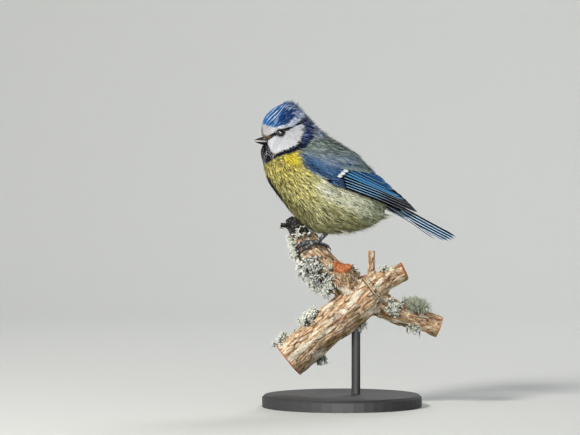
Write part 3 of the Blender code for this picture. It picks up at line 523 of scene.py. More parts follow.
# The spine that the bake's map is unwrapped along: its start, its length and way, and the way up from it
SPINE_START = np.array((-40.0, 0.0, 137.0))
SPINE = np.array((48.0, 0.0, -26.0))
SPINE_UP = np.array((26.0, 0.0, 48.0))
SPINE_MARGIN = 0.25


def body_unwrap(points):
    """The bake's place of a point: along the spine from bill to tail, and round it from the belly line."""
    share = np.clip(((points - SPINE_START) @ SPINE) / (SPINE @ SPINE), -SPINE_MARGIN, 1.0 + SPINE_MARGIN)
    off = points - (SPINE_START + share[:, None] * SPINE)
    angle = np.arctan2(off[:, 1], off @ unit(SPINE_UP))
    along = (share + SPINE_MARGIN) / (1.0 + 2.0 * SPINE_MARGIN)
    return np.stack((0.5 + angle / (2 * math.pi) * 0.98, 0.02 + 0.96 * along), axis=1)


def build_skin(material):
    """One skin for head, neck and torso, inside them by the coat's depth, painted darker than the plumage as
    shade beneath the coat.
    """
    push = 0.3
    points, faces = node_points(("head", "neck", "torso", "eye_left", "eye_right"), push)
    points, faces = remeshed(points, faces, 0.6, 6)
    # The solid's vent feathers are flattened into the skin, because tufts take their place
    x, z = points[:, 0], points[:, 2]
    points[:, 2] = np.where(x > VENT_LINE[0][0], np.maximum(z, edge_height(VENT_LINE, x)), z)
    # The face is cut back round the bill's root, so that the bill shows as far as the gape
    notch = band(points[:, 2], MOUTH_Z - GAPE_HALF, MOUTH_Z + GAPE_HALF, 0.4) * (points[:, 0] < GAPE_X)
    points[:, 0] += notch * (GAPE_X - points[:, 0])
    normals = point_normals(points, faces)
    points = points - normals * (coat_depth(points) + push)[:, None]
    main, streak, amount = plumage(points + normals * coat_depth(points)[:, None])
    # Painted shade: the skin is a darker copy of the plumage, less dark under pale feathers, so that gaps in
    # the coat look shaded
    pale = smooth_step(0.4, 0.6, main.min(axis=1))
    colours = mix(main, streak, amount * 0.6) * (0.5 + 0.35 * pale)[:, None]
    return mesh_piece("skin", points, faces, material, colours), points, faces


def scatter(points, faces, weights, count, rng):
    """Places spread evenly over a surface by weight, with their faces' normals."""
    corners = points[faces]
    cross = np.cross(corners[:, 1] - corners[:, 0], corners[:, 2] - corners[:, 0])
    area = np.linalg.norm(cross, axis=1) / 2
    total = np.cumsum(area * weights[faces].mean(axis=1))
    picks = (np.arange(count) + rng.random(count)) / count * total[-1]
    chosen = np.minimum(np.searchsorted(total, picks), len(faces) - 1)
    a, b = rng.random(count), rng.random(count)
    flip = a + b > 1.0
    a[flip], b[flip] = 1.0 - a[flip], 1.0 - b[flip]
    tri = corners[chosen]
    places = tri[:, 0] + a[:, None] * (tri[:, 1] - tri[:, 0]) + b[:, None] * (tri[:, 2] - tri[:, 0])
    return places, unit(cross[chosen])


def lay(tree, roots, lengths, lifts, steps, turn, field):
    """Lines that run over a surface along a field, rising to their lift at the tip."""
    places, normals = nearest(tree, roots)
    lines, ups, ways = [places], [normals], []
    for _ in range(steps):
        way = field(places, normals)
        side = np.cross(normals, way)
        way = unit(way + side * turn[:, None])
        ways.append(way)
        places, normals = nearest(tree, places + way * (lengths / steps)[:, None])
        lines.append(places)
        ups.append(normals)
    ways.append(ways[-1])
    rise = np.linspace(0.0, 1.0, steps + 1) ** 0.8
    ups = np.stack(ups, axis=1)
    lines = np.stack(lines, axis=1) + ups * rise[None, :, None] * lifts[:, None, None]
    return lines, ups, unit(np.stack(ways, axis=1))


def tufts(lines, ups, ways, widths, barbs, barb_width, rng, fan=1.0, stops=4, ragged=0.25):
    """Thin tapered barbs that fan out from each root: their points, faces, and shares of their length."""
    count, steps, _ = lines.shape
    rows = np.arange(count)
    sides = unit(np.cross(ups, ways))
    spread = np.interp(np.linspace(0, 1, stops), (0.0, 0.35, 0.75, 1.0), (0.22, 0.8, 1.0, 0.92 * fan))
    taper = np.interp(np.linspace(0, 1, stops), (0.0, 0.3, 0.75, 1.0), (0.7, 1.0, 0.75, 0.04))
    all_points = []
    for j in range(barbs):
        place = 0.0 if barbs == 1 else -1.0 + 2.0 * j / (barbs - 1)
        across = place + rng.uniform(-0.35, 0.35, count) / max(barbs - 1, 1) * 2.0
        reach = 1.0 - 0.38 * np.abs(across) ** 1.6 - rng.uniform(0.0, ragged, count)
        drift = rng.uniform(-0.16, 0.16, count) * widths
        roll = rng.uniform(-0.4, 0.4, count)[:, None]
        lift = rng.uniform(-0.10, 0.22, count)
        for k in range(stops):
            t = reach * k / (stops - 1) * (steps - 1)
            i = np.clip(t.astype(int), 0, steps - 2)
            f = (t - i)[:, None]
            centre, side, up = (values[rows, i] * (1 - f) + values[rows, i + 1] * f
                                for values in (lines, sides, ups))
            share = k / (stops - 1)
            off = (widths / 2 * across * spread[k] + drift * share ** 2)[:, None] * side
            off = off + up * (lift * share * widths * 0.5)[:, None]
            half = (barb_width / 2 * taper[k])[:, None] * (side * np.cos(roll) + up * np.sin(roll))
            ends = (0.0,) if k == stops - 1 else (-1.0, 1.0)
            all_points += [centre + off + half * end for end in ends]
    per_barb = 2 * (stops - 1) + 1
    points = np.stack(all_points, axis=1).reshape(count, barbs, per_barb, 3)
    pattern = []
    for a in range(0, 2 * (stops - 2), 2):
        pattern += [(a, a + 1, a + 3), (a, a + 3, a + 2)]
    pattern.append((per_barb - 3, per_barb - 2, per_barb - 1))
    base = np.arange(count * barbs)[:, None, None] * per_barb
    faces = (np.array(pattern)[None] + base).reshape(-1, 3)
    shares = (np.arange(per_barb) // 2) / (stops - 1)
    return points, faces, shares


# The slope of the cap's front lines and their spacing
CAP_SLOPE = math.radians(50.0)
CAP_PITCH = 1.2


def cap_lines(points):
    """Bent and broken lines that run up and back over the front of the cap, from about -0.7 to 0.7."""
    across = points[:, 2] * math.cos(CAP_SLOPE) - points[:, 0] * math.sin(CAP_SLOPE)
    along = points[:, 0] * math.cos(CAP_SLOPE) + points[:, 2] * math.sin(CAP_SLOPE)
    place = np.stack((across, along * 0.3, points[:, 1] * 0.3), axis=1)
    drift = noise_at(place, 0.4, 5.0)
    breaks = noise_at(place, 1.0, 15.0)
    return 0.38 * np.sin(2 * math.pi * (across / CAP_PITCH + 0.8 * drift)) + 0.6 * breaks


def barb_colours(base, streak, amount, points, ways, shares, rng, root_shade=0.3, vary=0.3, fine=1.4,
                 keep=0.11, lined=None):
    """Colours along each barb: streaks and gaps run along the lie, and single barbs vary; the darker gaps and
    the darker roots are painted shade deep in the coat.
    """
    count, barbs, stops, _ = points.shape
    middle = points[:, :, stops // 2 + 1].reshape(-1, 3)
    flow = np.repeat(ways[:, -1], barbs, axis=0)
    flat = pressed(middle, flow, np.repeat(np.broadcast_to(keep, count), barbs))
    flat = flat * np.repeat(np.broadcast_to(fine, count), barbs)[:, None]
    vary = np.broadcast_to(vary, count)[:, None]
    mark = noise_at(flat, 1.25, 11.0).reshape(count, barbs)
    if lined is not None:
        lines = cap_lines(middle).reshape(count, barbs)
        mark = mark * (1.0 - lined[:, None]) + lines * lined[:, None]
    tone = noise_at(flat, 0.95, 37.0).reshape(count, barbs)
    gap = noise_at(flat, 1.5, 73.0).reshape(count, barbs)
    blend = smooth_step(0.38, 0.62, amount[:, None] + 0.95 * mark + rng.uniform(-0.1, 0.1, (count, barbs)))
    spread = rng.uniform(-0.5, 0.5, (count, barbs))
    light = 1.0 + vary * (1.7 * tone + spread + rng.uniform(-0.3, 0.3, (count, 1)))
    # Painted shade: barbs in the gaps between streaks are darkened
    light = light * (1.0 - 1.7 * vary * smooth_step(0.08, 0.36, gap))
    colour = mix(base[:, None, :], streak[:, None, :], blend)
    colour = np.clip(colour * light[..., None], 0.003, 0.95)
    # Painted shade: each barb darkens towards its root, down to the root shade level
    root_shade = np.broadcast_to(root_shade, count)[:, None]
    along = root_shade + (1.05 - root_shade) * np.clip(shares * 1.35, 0.0, 1.0)[None] ** 0.8
    return colour[:, :, None, :] * along[:, None, :, None]


# The size of a tuft's patch on the bake's map
PATCH = 0.003


def patch_uv(centres, barbs, shares, unwrap):
    """A small patch on the bake's map for each tuft, round its root's place on the unwrap."""
    count = len(centres)
    root = unwrap(centres)
    across = np.linspace(-0.5, 0.5, barbs) if barbs > 1 else np.zeros(1)
    wide = np.zeros(len(shares))
    wide[0:-1:2] = -0.4 / barbs
    wide[1:-1:2] = 0.4 / barbs
    u = root[:, None, None, 0] + (across[None, :, None] + wide[None, None, :]) * PATCH
    v = root[:, None, None, 1] + (shares[None, None, :] - 0.5) * PATCH
    v = np.broadcast_to(v, (count, barbs, len(shares)))
    return np.stack((np.clip(u, 0.0, 1.0), np.clip(v, 0.0, 1.0)), axis=3)


PIECE_LIMIT = 190000
COAT_TUFTS = 34000
COAT_BARBS = 6


def coat_pieces(name, points, faces, colours, uv, material):
    """Splits a coat into objects under the triangle limit, in the order of its tufts."""
    count = len(points)
    per_tuft = len(faces) // count
    parts = max(math.ceil(count / (PIECE_LIMIT // per_tuft)), 1)
    for part, rows in enumerate(np.array_split(np.arange(count), parts)):
        part_faces = faces[:len(rows) * per_tuft]
        obj = mesh_piece("%s_%d" % (name, part + 1), points[rows].reshape(-1, 3), part_faces, material,
                         colours[rows].reshape(-1, 3), uv[rows].reshape(-1, 2))
        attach(obj, "root")


def tuft_piece(name, roots, laid, widths, barbs, barb_widths, tones, rng, material, fan=1.0,
               ragged=0.25, root_shade=0.3, vary=0.3, unwrap=body_unwrap):
    """One coat piece of tufts on lines already laid, in tones: main colour, streak colour and amount."""
    lines, ups, ways = laid
    points, faces, shares = tufts(lines, ups, ways, widths, barbs, barb_widths, rng, fan=fan, ragged=ragged)
    colours = barb_colours(*tones, points, ways, shares, rng, root_shade, vary)
    uv = patch_uv(roots, barbs, shares, unwrap)
    coat_pieces(name, points, faces, colours, uv, material)


# The folded wing: its outline in the mid plane, the same edges as the solid wing
WING_LOWER = ((-20.2, 124.0), (-8.0, 113.4), (2.0, 109.6), (11.0, 107.0), (19.5, 102.0), (29.0, 98.2),
              (37.0, 97.5))
WING_UPPER = ((-18.5, 126.5), (-8.0, 123.5), (5.0, 123.5), (14.0, 119.0), (23.0, 111.3), (29.0, 105.6),
              (37.2, 98.1))
WING_OUTLINE = WING_LOWER + WING_UPPER[::-1]
# How far it stands off the body, its roof's reach and bend, and where its sheet ends
WING_CLEARANCE = 1.75
WING_TIP_Y = 3.0
WING_ROOF_Y = 17.5
WING_LEAVES_BODY = 9.0
WING_ROOF_BEND = 0.86
WING_BLEND = 1.5
SHOULDER_REACH = 5.0
SHOULDER_END_X = 18.0
LOWER_EDGE_X = -6.0
SHEET_STEP = 0.8

# Flight feathers from the lowest up: root (x, z), tip (x, z), half width below the shaft and above it
FLIGHT_FEATHERS = (
    ("leading", (-0.4, 110.9), (30.0, 98.0), 0.55, 1.3),
    ("primary", (0.0, 111.9), (33.0, 98.1), 0.58, 1.3),
    ("primary", (0.4, 113.1), (37.8, 97.5), 0.60, 1.3),
    ("primary", (0.8, 114.3), (35.8, 99.7), 0.60, 1.3),
    ("primary", (1.2, 115.5), (33.6, 101.8), 0.60, 1.4),
    ("secondary", (1.6, 117.0), (31.2, 103.8), 0.78, 1.5),
    ("secondary", (2.2, 118.3), (28.8, 105.6), 0.80, 1.5),
    ("tertial", (2.8, 119.8), (25.9, 108.5), 1.0, 1.6),
    ("tertial", (3.6, 121.2), (22.2, 111.9), 1.1, 1.5),
    ("top", (4.8, 122.6), (17.4, 115.9), 1.1, 1.3),
)
FLIGHT_BOW = 0.8


def body_side(tree, x, z):
    """Half width of the body at (x, z) and how squarely it faces the side, or None beside it."""
    place, normal, _, _ = tree.ray_cast((x, -60.0, z), (0.0, 1.0, 0.0))
    return None if place is None else (-place[1], abs(normal[1]))


def wing_height(tree, x, z):
    """The folded wing's outer surface: close over the body, then a stiff roof that narrows to the tip."""
    low, high = edge_height(WING_LOWER, x), edge_height(WING_UPPER, x)
    share = min(max((z - low) / max(high - low, 1.0), 0.0), 1.1)
    reach = min(max((x - WING_LEAVES_BODY) / (WING_LOWER[-1][0] - WING_LEAVES_BODY), 0.0), 1.0)
    stiff = WING_TIP_Y + (WING_ROOF_Y - WING_TIP_Y) * (1.0 - reach) ** 0.9
    stiff *= math.sqrt(1.0 - (WING_ROOF_BEND * share) ** 2)
    half = body_side(tree, x, z)
    near = 0.0 if half is None else half[0] + WING_CLEARANCE
    return (near + stiff + math.hypot(near - stiff, WING_BLEND)) / 2 - WING_BLEND / 2


def wing_sheet(tree):
    """A grid over the wing that runs on past its edges and sinks to the skin there, on the left side.

    Returns its points and faces, and for each point how far it lies outside the wing."""
    xs = np.arange(-27.0, 38.0, SHEET_STEP)
    zs = np.arange(95.0, 134.0, SHEET_STEP)
    flat = np.array([(x, z) for x in xs for z in zs])
    outside = -edge_distance(flat, WING_OUTLINE)
    points, index = [], {}
    for i, ((x, z), out) in enumerate(zip(flat, outside)):
        if out > SHOULDER_REACH or (out > 0.4 and x > SHOULDER_END_X):
            continue
        if out <= 0.0:
            y = wing_height(tree, x, z)
        else:
            base = body_side(tree, x, z)
            if base is None:
                continue
            inner = min(max(z, edge_height(WING_LOWER, x)), edge_height(WING_UPPER, x))
            at_edge = body_side(tree, x, inner)
            if at_edge is None:
                continue
            stand = wing_height(tree, x, inner) - at_edge[0] + BODY_DEPTH
            stand *= 1.0 - float(smooth_step(0.0, SHOULDER_REACH, out))
            y = base[0] - BODY_DEPTH + stand * float(smooth_step(0.25, 0.65, base[1]))
        index[i] = len(points)
        points.append((x, -y, z, out))
    faces = []
    for a in range(len(xs) - 1):
        for b in range(len(zs) - 1):
            corner = a * len(zs) + b
            ring = (corner, corner + len(zs), corner + len(zs) + 1, corner + 1)
            if all(i in index for i in ring):
                ids = [index[i] for i in ring]
                faces += [(ids[0], ids[1], ids[2]), (ids[0], ids[2], ids[3])]
    points = np.array(points)
    return points[:, :3], np.array(faces), points[:, 3]


def tip_shape(f, blunt):
    """Width of a feather at a share of its length: narrower at the root, rounded at the tip."""
    root = 0.7 + 0.3 * np.clip(f / 0.3, 0.0, 1.0)
    tip = np.sqrt(np.clip(1.0 - (np.clip(f - blunt, 0.0, 1.0) / (1.0 - blunt)) ** 2, 0.0, 1.0))
    return np.maximum(root * tip, 0.06)


VANE_THICKNESS = 0.16
# Where the points across a feather lie, from its outer edge over the shaft at 0 to its inner edge
VANE_CROSS = np.array((-1.0, -0.85, -0.6, -0.42, -0.22, 0.0, 0.1, 0.3, 0.45, 0.6, 0.8, 1.0))


def vane(place, start, end, bow, width, slope, paint, rng, stops=18, blunt=0.72, sink=0.5):
    """One feather as a thin closed sheet with a raised shaft: points, faces, colours, along and across."""
    start, end = np.array(start, dtype=float), np.array(end, dtype=float)
    ahead = (end - start) / np.linalg.norm(end - start)
    side = np.array((-ahead[1], ahead[0]))
    f = np.linspace(0.0, 1.0, stops) ** 0.9
    size = tip_shape(f, blunt)
    frayed = 1.0 + rng.normal(0.0, 0.025, (stops, 2))
    wide = len(VANE_CROSS)
    points = np.empty((2, stops, wide, 3))
    for r in range(stops):
        centre = start + (end - start) * f[r] + side * bow * math.sin(math.pi * f[r])
        for c, cross in enumerate(VANE_CROSS):
            half = width[0] * frayed[r, 0] if cross < 0 else width[1] * frayed[r, 1]
            off = cross * half * size[r]
            x, z = centre + side * off + ahead * (-0.25 * abs(cross) * half)
            shaft = 0.10 * (1.0 - 0.7 * f[r]) if cross == 0.0 else 0.0
            camber = -0.10 * cross * cross * half
            lift = -slope * off + shaft + camber - sink * max(1.0 - f[r] / 0.2, 0.0)
            points[0, r, c] = place(x, z, lift)
            points[1, r, c] = place(x, z, lift - VANE_THICKNESS * (1.0 - 0.5 * f[r]))
    web = np.array(grid_faces(stops, wide, False))
    under = stops * wide
    index = np.arange(under).reshape(stops, wide)
    edge = np.concatenate((index[:, 0], index[-1, 1:], index[-2::-1, -1], index[0, -2:0:-1]))
    beyond = np.roll(edge, -1)
    rim = np.vstack((np.stack((edge, edge + under, beyond + under), axis=1),
                     np.stack((edge, beyond + under, beyond), axis=1)))
    faces = np.vstack((web[:, ::-1], web + under, rim))
    cross, along = np.meshgrid(VANE_CROSS, f)
    colours = paint(cross.ravel(), along.ravel())
    colours = colours * (1.0 + rng.normal(0.0, 0.03, (len(colours), 1)))
    # Painted shade: the underside is a darker copy of the upper side's colours
    colours = np.vstack((colours, colours * 0.7))
    return points.reshape(-1, 3), faces, colours, np.tile(along.ravel(), 2), np.tile(cross.ravel(), 2)


def feather_piece(name, parts, material):
    """One object from many feathers, with the places along and across each for its material."""
    starts = np.cumsum([0] + [len(part[0]) for part in parts])
    faces = np.vstack([part[1] + start for part, start in zip(parts, starts)])
    points, colours = (np.vstack([part[i] for part in parts]) for i in (0, 2))
    along, across = (np.concatenate([part[i] for part in parts]) for i in (3, 4))
    return mesh_piece(name, points, faces, material, colours, extra={"along": along, "across": across})


FEATHER_BLACK = srgb(3, 3, 6)
EDGE_PALE = srgb(160, 214, 255)
EDGE_GREY = srgb(176, 178, 186)
SECONDARY_BLUE = srgb(44, 126, 188)
TERTIAL_BLUE = srgb(18, 86, 146)
TIP_GREY = srgb(58, 58, 66)
WEB_EDGE = srgb(150, 204, 236)
WEB_TIP = srgb(150, 196, 224)
SCAPULAR_FRINGE = srgb(168, 178, 156)
COVERT_EDGE = srgb(110, 146, 190)
COVERT_DARK = srgb(12, 18, 40)
COVERT_WHITE = srgb(248, 249, 252)
TAIL_BASE = srgb(14, 28, 76)
TAIL_COVERT_PALE = srgb(236, 234, 224)
TAIL_WHITE = srgb(246, 248, 255)
TAIL_BLUE = srgb(50, 150, 240)
TAIL_EDGE = srgb(214, 240, 255)
TAIL_END_GREY = srgb(196, 206, 220)


def flight_paint(kind):
    """A flight feather: a pale outer edge over black, or broad blue webs with a black inner line."""
    def paint(cross, along):
        # The leading feather is black all over, standing for the dark line of shadow under the wing's lower
        # edge as well as the feather
        if kind == "leading":
            return mix(FEATHER_BLACK, EDGE_GREY, band(along, 0.40, 0.60, 0.1) * (cross < -0.9) * 0.3)
        if kind == "primary":
            far = smooth_step(0.42, 0.72, along)
            edge = 1.0 - smooth_step(-0.56 - 0.25 * far, -0.40 - 0.25 * far, cross)
            colour = mix(FEATHER_BLACK, mix(EDGE_PALE, EDGE_GREY, far), edge)
            worn = smooth_step(0.74, 0.90, along)
            return mix(colour, mix(TIP_GREY, EDGE_GREY, edge * 0.6), worn * 0.8)
        secondary = kind == "secondary"
        web = band(cross, -1.2, 0.05 if secondary else 1.2, 0.10)
        edge = 1.0 - smooth_step(-0.9, -0.6, cross)
        blue = SECONDARY_BLUE if secondary else TERTIAL_BLUE
        blue = mix(blue, WEB_EDGE, edge * (0.8 if secondary else 0.7))
        blue = mix(blue, WEB_TIP, smooth_step(0.84, 1.0, along) * 0.5)
        if not secondary:
            blue = mix(blue, FEATHER_BLACK, band(cross, -0.66, -0.3, 0.08) * 0.9)
        return mix(FEATHER_BLACK, blue, web)

    return paint


def covert_paint(kind, share):
    """A covert or scapular feather, where share is its place in its row."""
    def paint(cross, along):
        if kind == "scapular":
            colour = mix(MANTLE_GREEN, SHOULDER_GREY, 0.6 - 0.3 * share)
            sides = smooth_step(0.55, 0.9, np.abs(cross)) * smooth_step(0.3, 0.6, along)
            return mix(colour, SCAPULAR_FRINGE, np.maximum(sides, smooth_step(0.86, 0.96, along)) * 0.7)
        edge = 1.0 - smooth_step(-0.9, -0.5, cross)
        colour = mix(COVERT_DEEP if kind == "primary" else COVERT_BLUE, COVERT_EDGE, edge * 0.8)
        dark = band(cross, -0.3, 1.4, 0.15)
        colour = mix(colour, COVERT_DARK, dark * (0.55 if kind == "greater" else 0.75))
        if kind == "greater":
            tip = smooth_step(0.69, 0.74, along) * band(share, *WHITE_TIPS, 0.02)
            colour = mix(colour, COVERT_WHITE, tip)
        return colour

    return paint


# Rows of coverts: kind, count, first and last root, first and last tip, half widths, height over the wing
COVERT_ROWS = (
    ("primary", 5, ((-7.5, 114.0), (-7.0, 117.2)), ((2.4, 110.3), (1.3, 114.1)), (0.7, 1.4), 0.25),
    ("greater", 6, ((-8.5, 117.6), (-3.2, 123.2)), ((-1.2, 114.4), (6.3, 120.9)), (1.15, 1.35), 0.45),
    ("alula", 3, ((-10.5, 115.2), (-11.0, 117.2)), ((-0.9, 111.5), (-2.9, 113.2)), (0.75, 1.3), 0.55),
    ("median", 7, ((-13.0, 117.6), (-8.0, 123.0)), ((-5.8, 114.9), (-1.2, 121.4)), (0.9, 1.5), 0.65),
    ("scapular", 7, ((-6.5, 122.6), (8.4, 122.4)), ((1.6, 120.0), (14.6, 117.2)), (1.1, 1.4), 0.6),
)
# The stretch of the greater row that has white tips, and how the wing's feathers slope like roof tiles
WHITE_TIPS = (0.1, 0.72)
VANE_SLOPE = 0.30


def sheet_height(sheet_tree, x, z):
    """How far the wing's sheet stands out at (x, z), or None beside it."""
    place = sheet_tree.ray_cast((x, -60.0, z), (0.0, 1.0, 0.0))[0]
    return None if place is None else -place[1]


def build_wing(tree, sheet, side, word, material):
    """The flight feathers and the rows of covert and scapular feathers of one wing."""
    rng = np.random.default_rng(21)
    sheet_tree = tree_of(sheet[0], sheet[1])
    parts = []

    def placer(base):
        def place(x, z, lift):
            height = sheet_height(sheet_tree, x, z)
            if height is None:
                height = wing_height(tree, x, z)
            return (x, side * (height - 0.25 + base + lift), z)

        return place

    for i, (kind, root, tip, below, above) in enumerate(FLIGHT_FEATHERS):
        base = 0.12 if i == 0 else 0.03 * i
        blunt = 0.72 if kind in ("tertial", "top") else 0.84
        parts.append(vane(placer(base), root, tip, FLIGHT_BOW * (1.0 - 0.1 * i), (below, above), VANE_SLOPE,
                          flight_paint(kind), rng, blunt=blunt))
    for kind, count, roots, ends, width, base in COVERT_ROWS:
        sink = 1.6 if kind == "scapular" else 0.5
        for i in range(count):
            share = i / (count - 1)
            root, tip = (mix(np.array(first), np.array(last), share) for first, last in (roots, ends))
            parts.append(vane(placer(base + 0.03 * i), root, tip, 0.2, width, VANE_SLOPE,
                              covert_paint(kind, share), rng, stops=12, blunt=0.7, sink=sink))
    wing = feather_piece("wing_feathers_" + word, parts, material)
    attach(wing, "root")
    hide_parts("wing_" + word)


# The tail: lengths run from its root along its ridge, and depths run down its two sloping sides
TAIL_ROOT = (24.0, 103.6)
TAIL_TIP = (57.2, 85.1)
TAIL_ROOF = math.radians(50.0)
TAIL_SLOPE = -0.30
TAIL_PAIRS = 4
TAIL_DEPTH_STEP = 1.44
TAIL_BASE_SPREAD = 1.18
TAIL_OUTER = ((0.3, 4.2), (28.9, 8.0))
TAIL_OUTER_FOLDED = ((-0.5, 6.0), (34.0, 5.6))
TAIL_COVERT = ((-5.0, 5.5), (6.0, 6.9))


def tail_place(side, base):
    """Turns a length, a depth and a lift on one side of the tail into a place."""
    root = np.array((TAIL_ROOT[0], 0.0, TAIL_ROOT[1]))
    ahead = unit(np.array((TAIL_TIP[0], 0.0, TAIL_TIP[1])) - root)
    up = np.array((-ahead[2], 0.0, ahead[0]))

    def place(length, depth, lift):
        lift = lift + base
        out = depth * math.cos(TAIL_ROOF) + lift * math.sin(TAIL_ROOF)
        height = -depth * math.sin(TAIL_ROOF) + lift * math.cos(TAIL_ROOF)
        return root + ahead * length + up * height + np.array((0.0, side * out, 0.0))

    return place


def tail_paint(kind):
    """A tail feather: pale edge, a thin blue line and black. The outermost one is white and black."""
    def paint(cross, along):
        colour = mix(FEATHER_BLACK, TAIL_BASE, (1.0 - smooth_step(0.05, 0.35, along)) * 0.7)
        if kind == "covert":
            return mix(colour, TAIL_COVERT_PALE, smooth_step(-0.3, 0.1, cross))
        if kind == "outer":
            return mix(colour, TAIL_WHITE, band(cross, -0.45, 0.5, 0.1))
        broad = 0.75 * (1.0 - smooth_step(0.16, 0.36, along))
        colour = mix(colour, TAIL_BLUE, band(cross, 0.2 - broad, 0.42, 0.08))
        colour = mix(colour, TAIL_EDGE, smooth_step(0.36 - broad, 0.5 - broad, cross))
        return mix(colour, TAIL_END_GREY, smooth_step(0.975, 1.0, along) * 0.5)

    return paint


def build_tail(material):
    """The tail's pairs of feathers, the outermost one on each side, and the coverts over their roots."""
    rng = np.random.default_rng(33)
    full = math.hypot(TAIL_TIP[0] - TAIL_ROOT[0], TAIL_TIP[1] - TAIL_ROOT[1])
    parts = []

    def add(side, base, start, end, bow, width, kind, stops, blunt):
        parts.append(vane(tail_place(side, base), start, end, bow, width, TAIL_SLOPE, tail_paint(kind), rng,
                          stops=stops, blunt=blunt))

    for side in (-1.0, 1.0):
        for k in range(TAIL_PAIRS):
            depth = 0.35 + TAIL_DEPTH_STEP * k
            add(side, -0.05 * k, (-1.0, depth * TAIL_BASE_SPREAD), (full - 0.3 * k * k, depth), 0.35,
                (1.3, 0.85), "inner", 22, 0.9)
        start, end = TAIL_OUTER if side < 0 else TAIL_OUTER_FOLDED
        add(side, 0.35 if side < 0 else -0.25, start, end, -0.15, (0.8, 0.8), "outer", 20, 0.88)
        add(side, 0.9, *TAIL_COVERT, 0.1, (0.9, 0.8), "covert", 14, 0.8)
    tail = feather_piece("tail_feathers", parts, material)
    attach(tail, "root")
    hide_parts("tail")


def tuft_sizes(points):
    """The length and width of the tufts at points, shortest and finest on the face."""
    share = coat_share(points)
    return 1.3 + 4.9 * share, 0.36 + 0.50 * share


def clear_of_eyes(lines):
    """Which tufts stay, with the ones that would cross an eye cut short or dropped."""
    keep = np.ones(len(lines), dtype=bool)
    for word in EYES:
        centre, _, out, along, up = eye_frame(word)
        for part in (0.45, 0.0):
            off = lines - centre
            reach = np.hypot(off @ along / (LID_LONG + 0.12), off @ up / (LID_TALL + 0.12))
            inside = ((reach < 1.0) & (off @ out > 0.0)).any(axis=1)
            if part:
                lines[inside] = lines[inside, :1] + (lines[inside] - lines[inside, :1]) * part
            else:
                keep &= ~inside
    return keep


def coat_lifts(roots, rng):
    """How far the coat's tufts stand up: more on crown, nape and lower belly, less on the forehead."""
    x, z = roots[:, 0], roots[:, 2]
    total = len(roots)
    lifts = (FACE_DEPTH + (BODY_DEPTH - FACE_DEPTH) * coat_share(roots)) * rng.uniform(0.5, 1.15, total)
    crown = smooth_step(143.0, 149.0, z) * smooth_step(-37.0, -30.0, x)
    lifts = lifts + 0.6 * crown * rng.uniform(0.0, 1.0, total)
    nape = band(x, -20.0, 3.0, 3.0) * smooth_step(-2.0, 2.0, z - 131.0 + 0.7 * (x + 8.0))
    lifts = lifts + 1.5 * nape * rng.uniform(0.3, 1.0, total)
    forehead = smooth_step(-35.0, -37.5, x) * band(z, 134.5, 142.0, 1.5)
    lifts = lifts * (1.0 - 0.6 * forehead * rng.uniform(0.6, 1.0, total))
    under = smooth_step(100.0, 90.0, z) * smooth_step(-24.0, -10.0, x)
    by_leg = band(x, -15.0, 1.0, 3.0)
    return lifts + (1.3 - 0.9 * by_leg) * under * rng.uniform(0.0, 1.0, total) ** 1.5


def coat_colours(lines, points, ways, shares, rng):
    """The plumage's colours along the coat's barbs: fine on the cap, coarse on the bib, soft on the cheek."""
    main, streak, amount = plumage(lines[:, 2] * 0.4 + lines[:, 3] * 0.6)
    flat = lines[:, 2][:, (0, 2)]
    head = smooth_step(-0.5, 0.5, edge_distance(flat, HEAD_AREA))
    upper = smooth_step(-0.5, 0.5, edge_distance(flat, MANTLE_EDGE))
    on_cap = edge_distance(flat, CAP_EDGE) > 0.0
    on_bib = edge_distance(flat, BIB) > 0.0
    vary = 0.50 - 0.20 * np.maximum(head, upper)
    fine = np.where(on_cap, 1.5, np.where(on_bib, 0.62, np.where(head > 0.5, 1.1, 1.6)))
    keep = np.where(on_cap, 0.10, np.where(on_bib, 0.35, 0.11))
    lined = smooth_step(-28.5, -31.0, flat[:, 0])
    lined = np.maximum(lined, smooth_step(147.5, 149.5, flat[:, 1])) * on_cap
    white_face = smooth_step(-35.5, -37.5, flat[:, 0]) * smooth_step(134.0, 136.5, flat[:, 1]) * ~on_cap
    # The white face gets less painted shade at the barbs' roots
    root_shade = 0.32 + 0.5 * white_face
    colours = barb_colours(main, streak, amount, points, ways, shares, rng, root_shade, vary, fine, keep,
                           lined)
    cheek = (head * (main.min(axis=1) > 0.5) * (streak.min(axis=1) > 0.3))[:, None, None, None]
    soft = mix(main, main * 0.93, rng.random(len(main)))[:, None, None, :]
    # The cheek's plain barbs also get painted shade towards their roots
    soft = soft * (0.72 + 0.32 * shares)[None, None, :, None]
    return colours * (1.0 - 0.7 * cheek) + soft * 0.7 * cheek


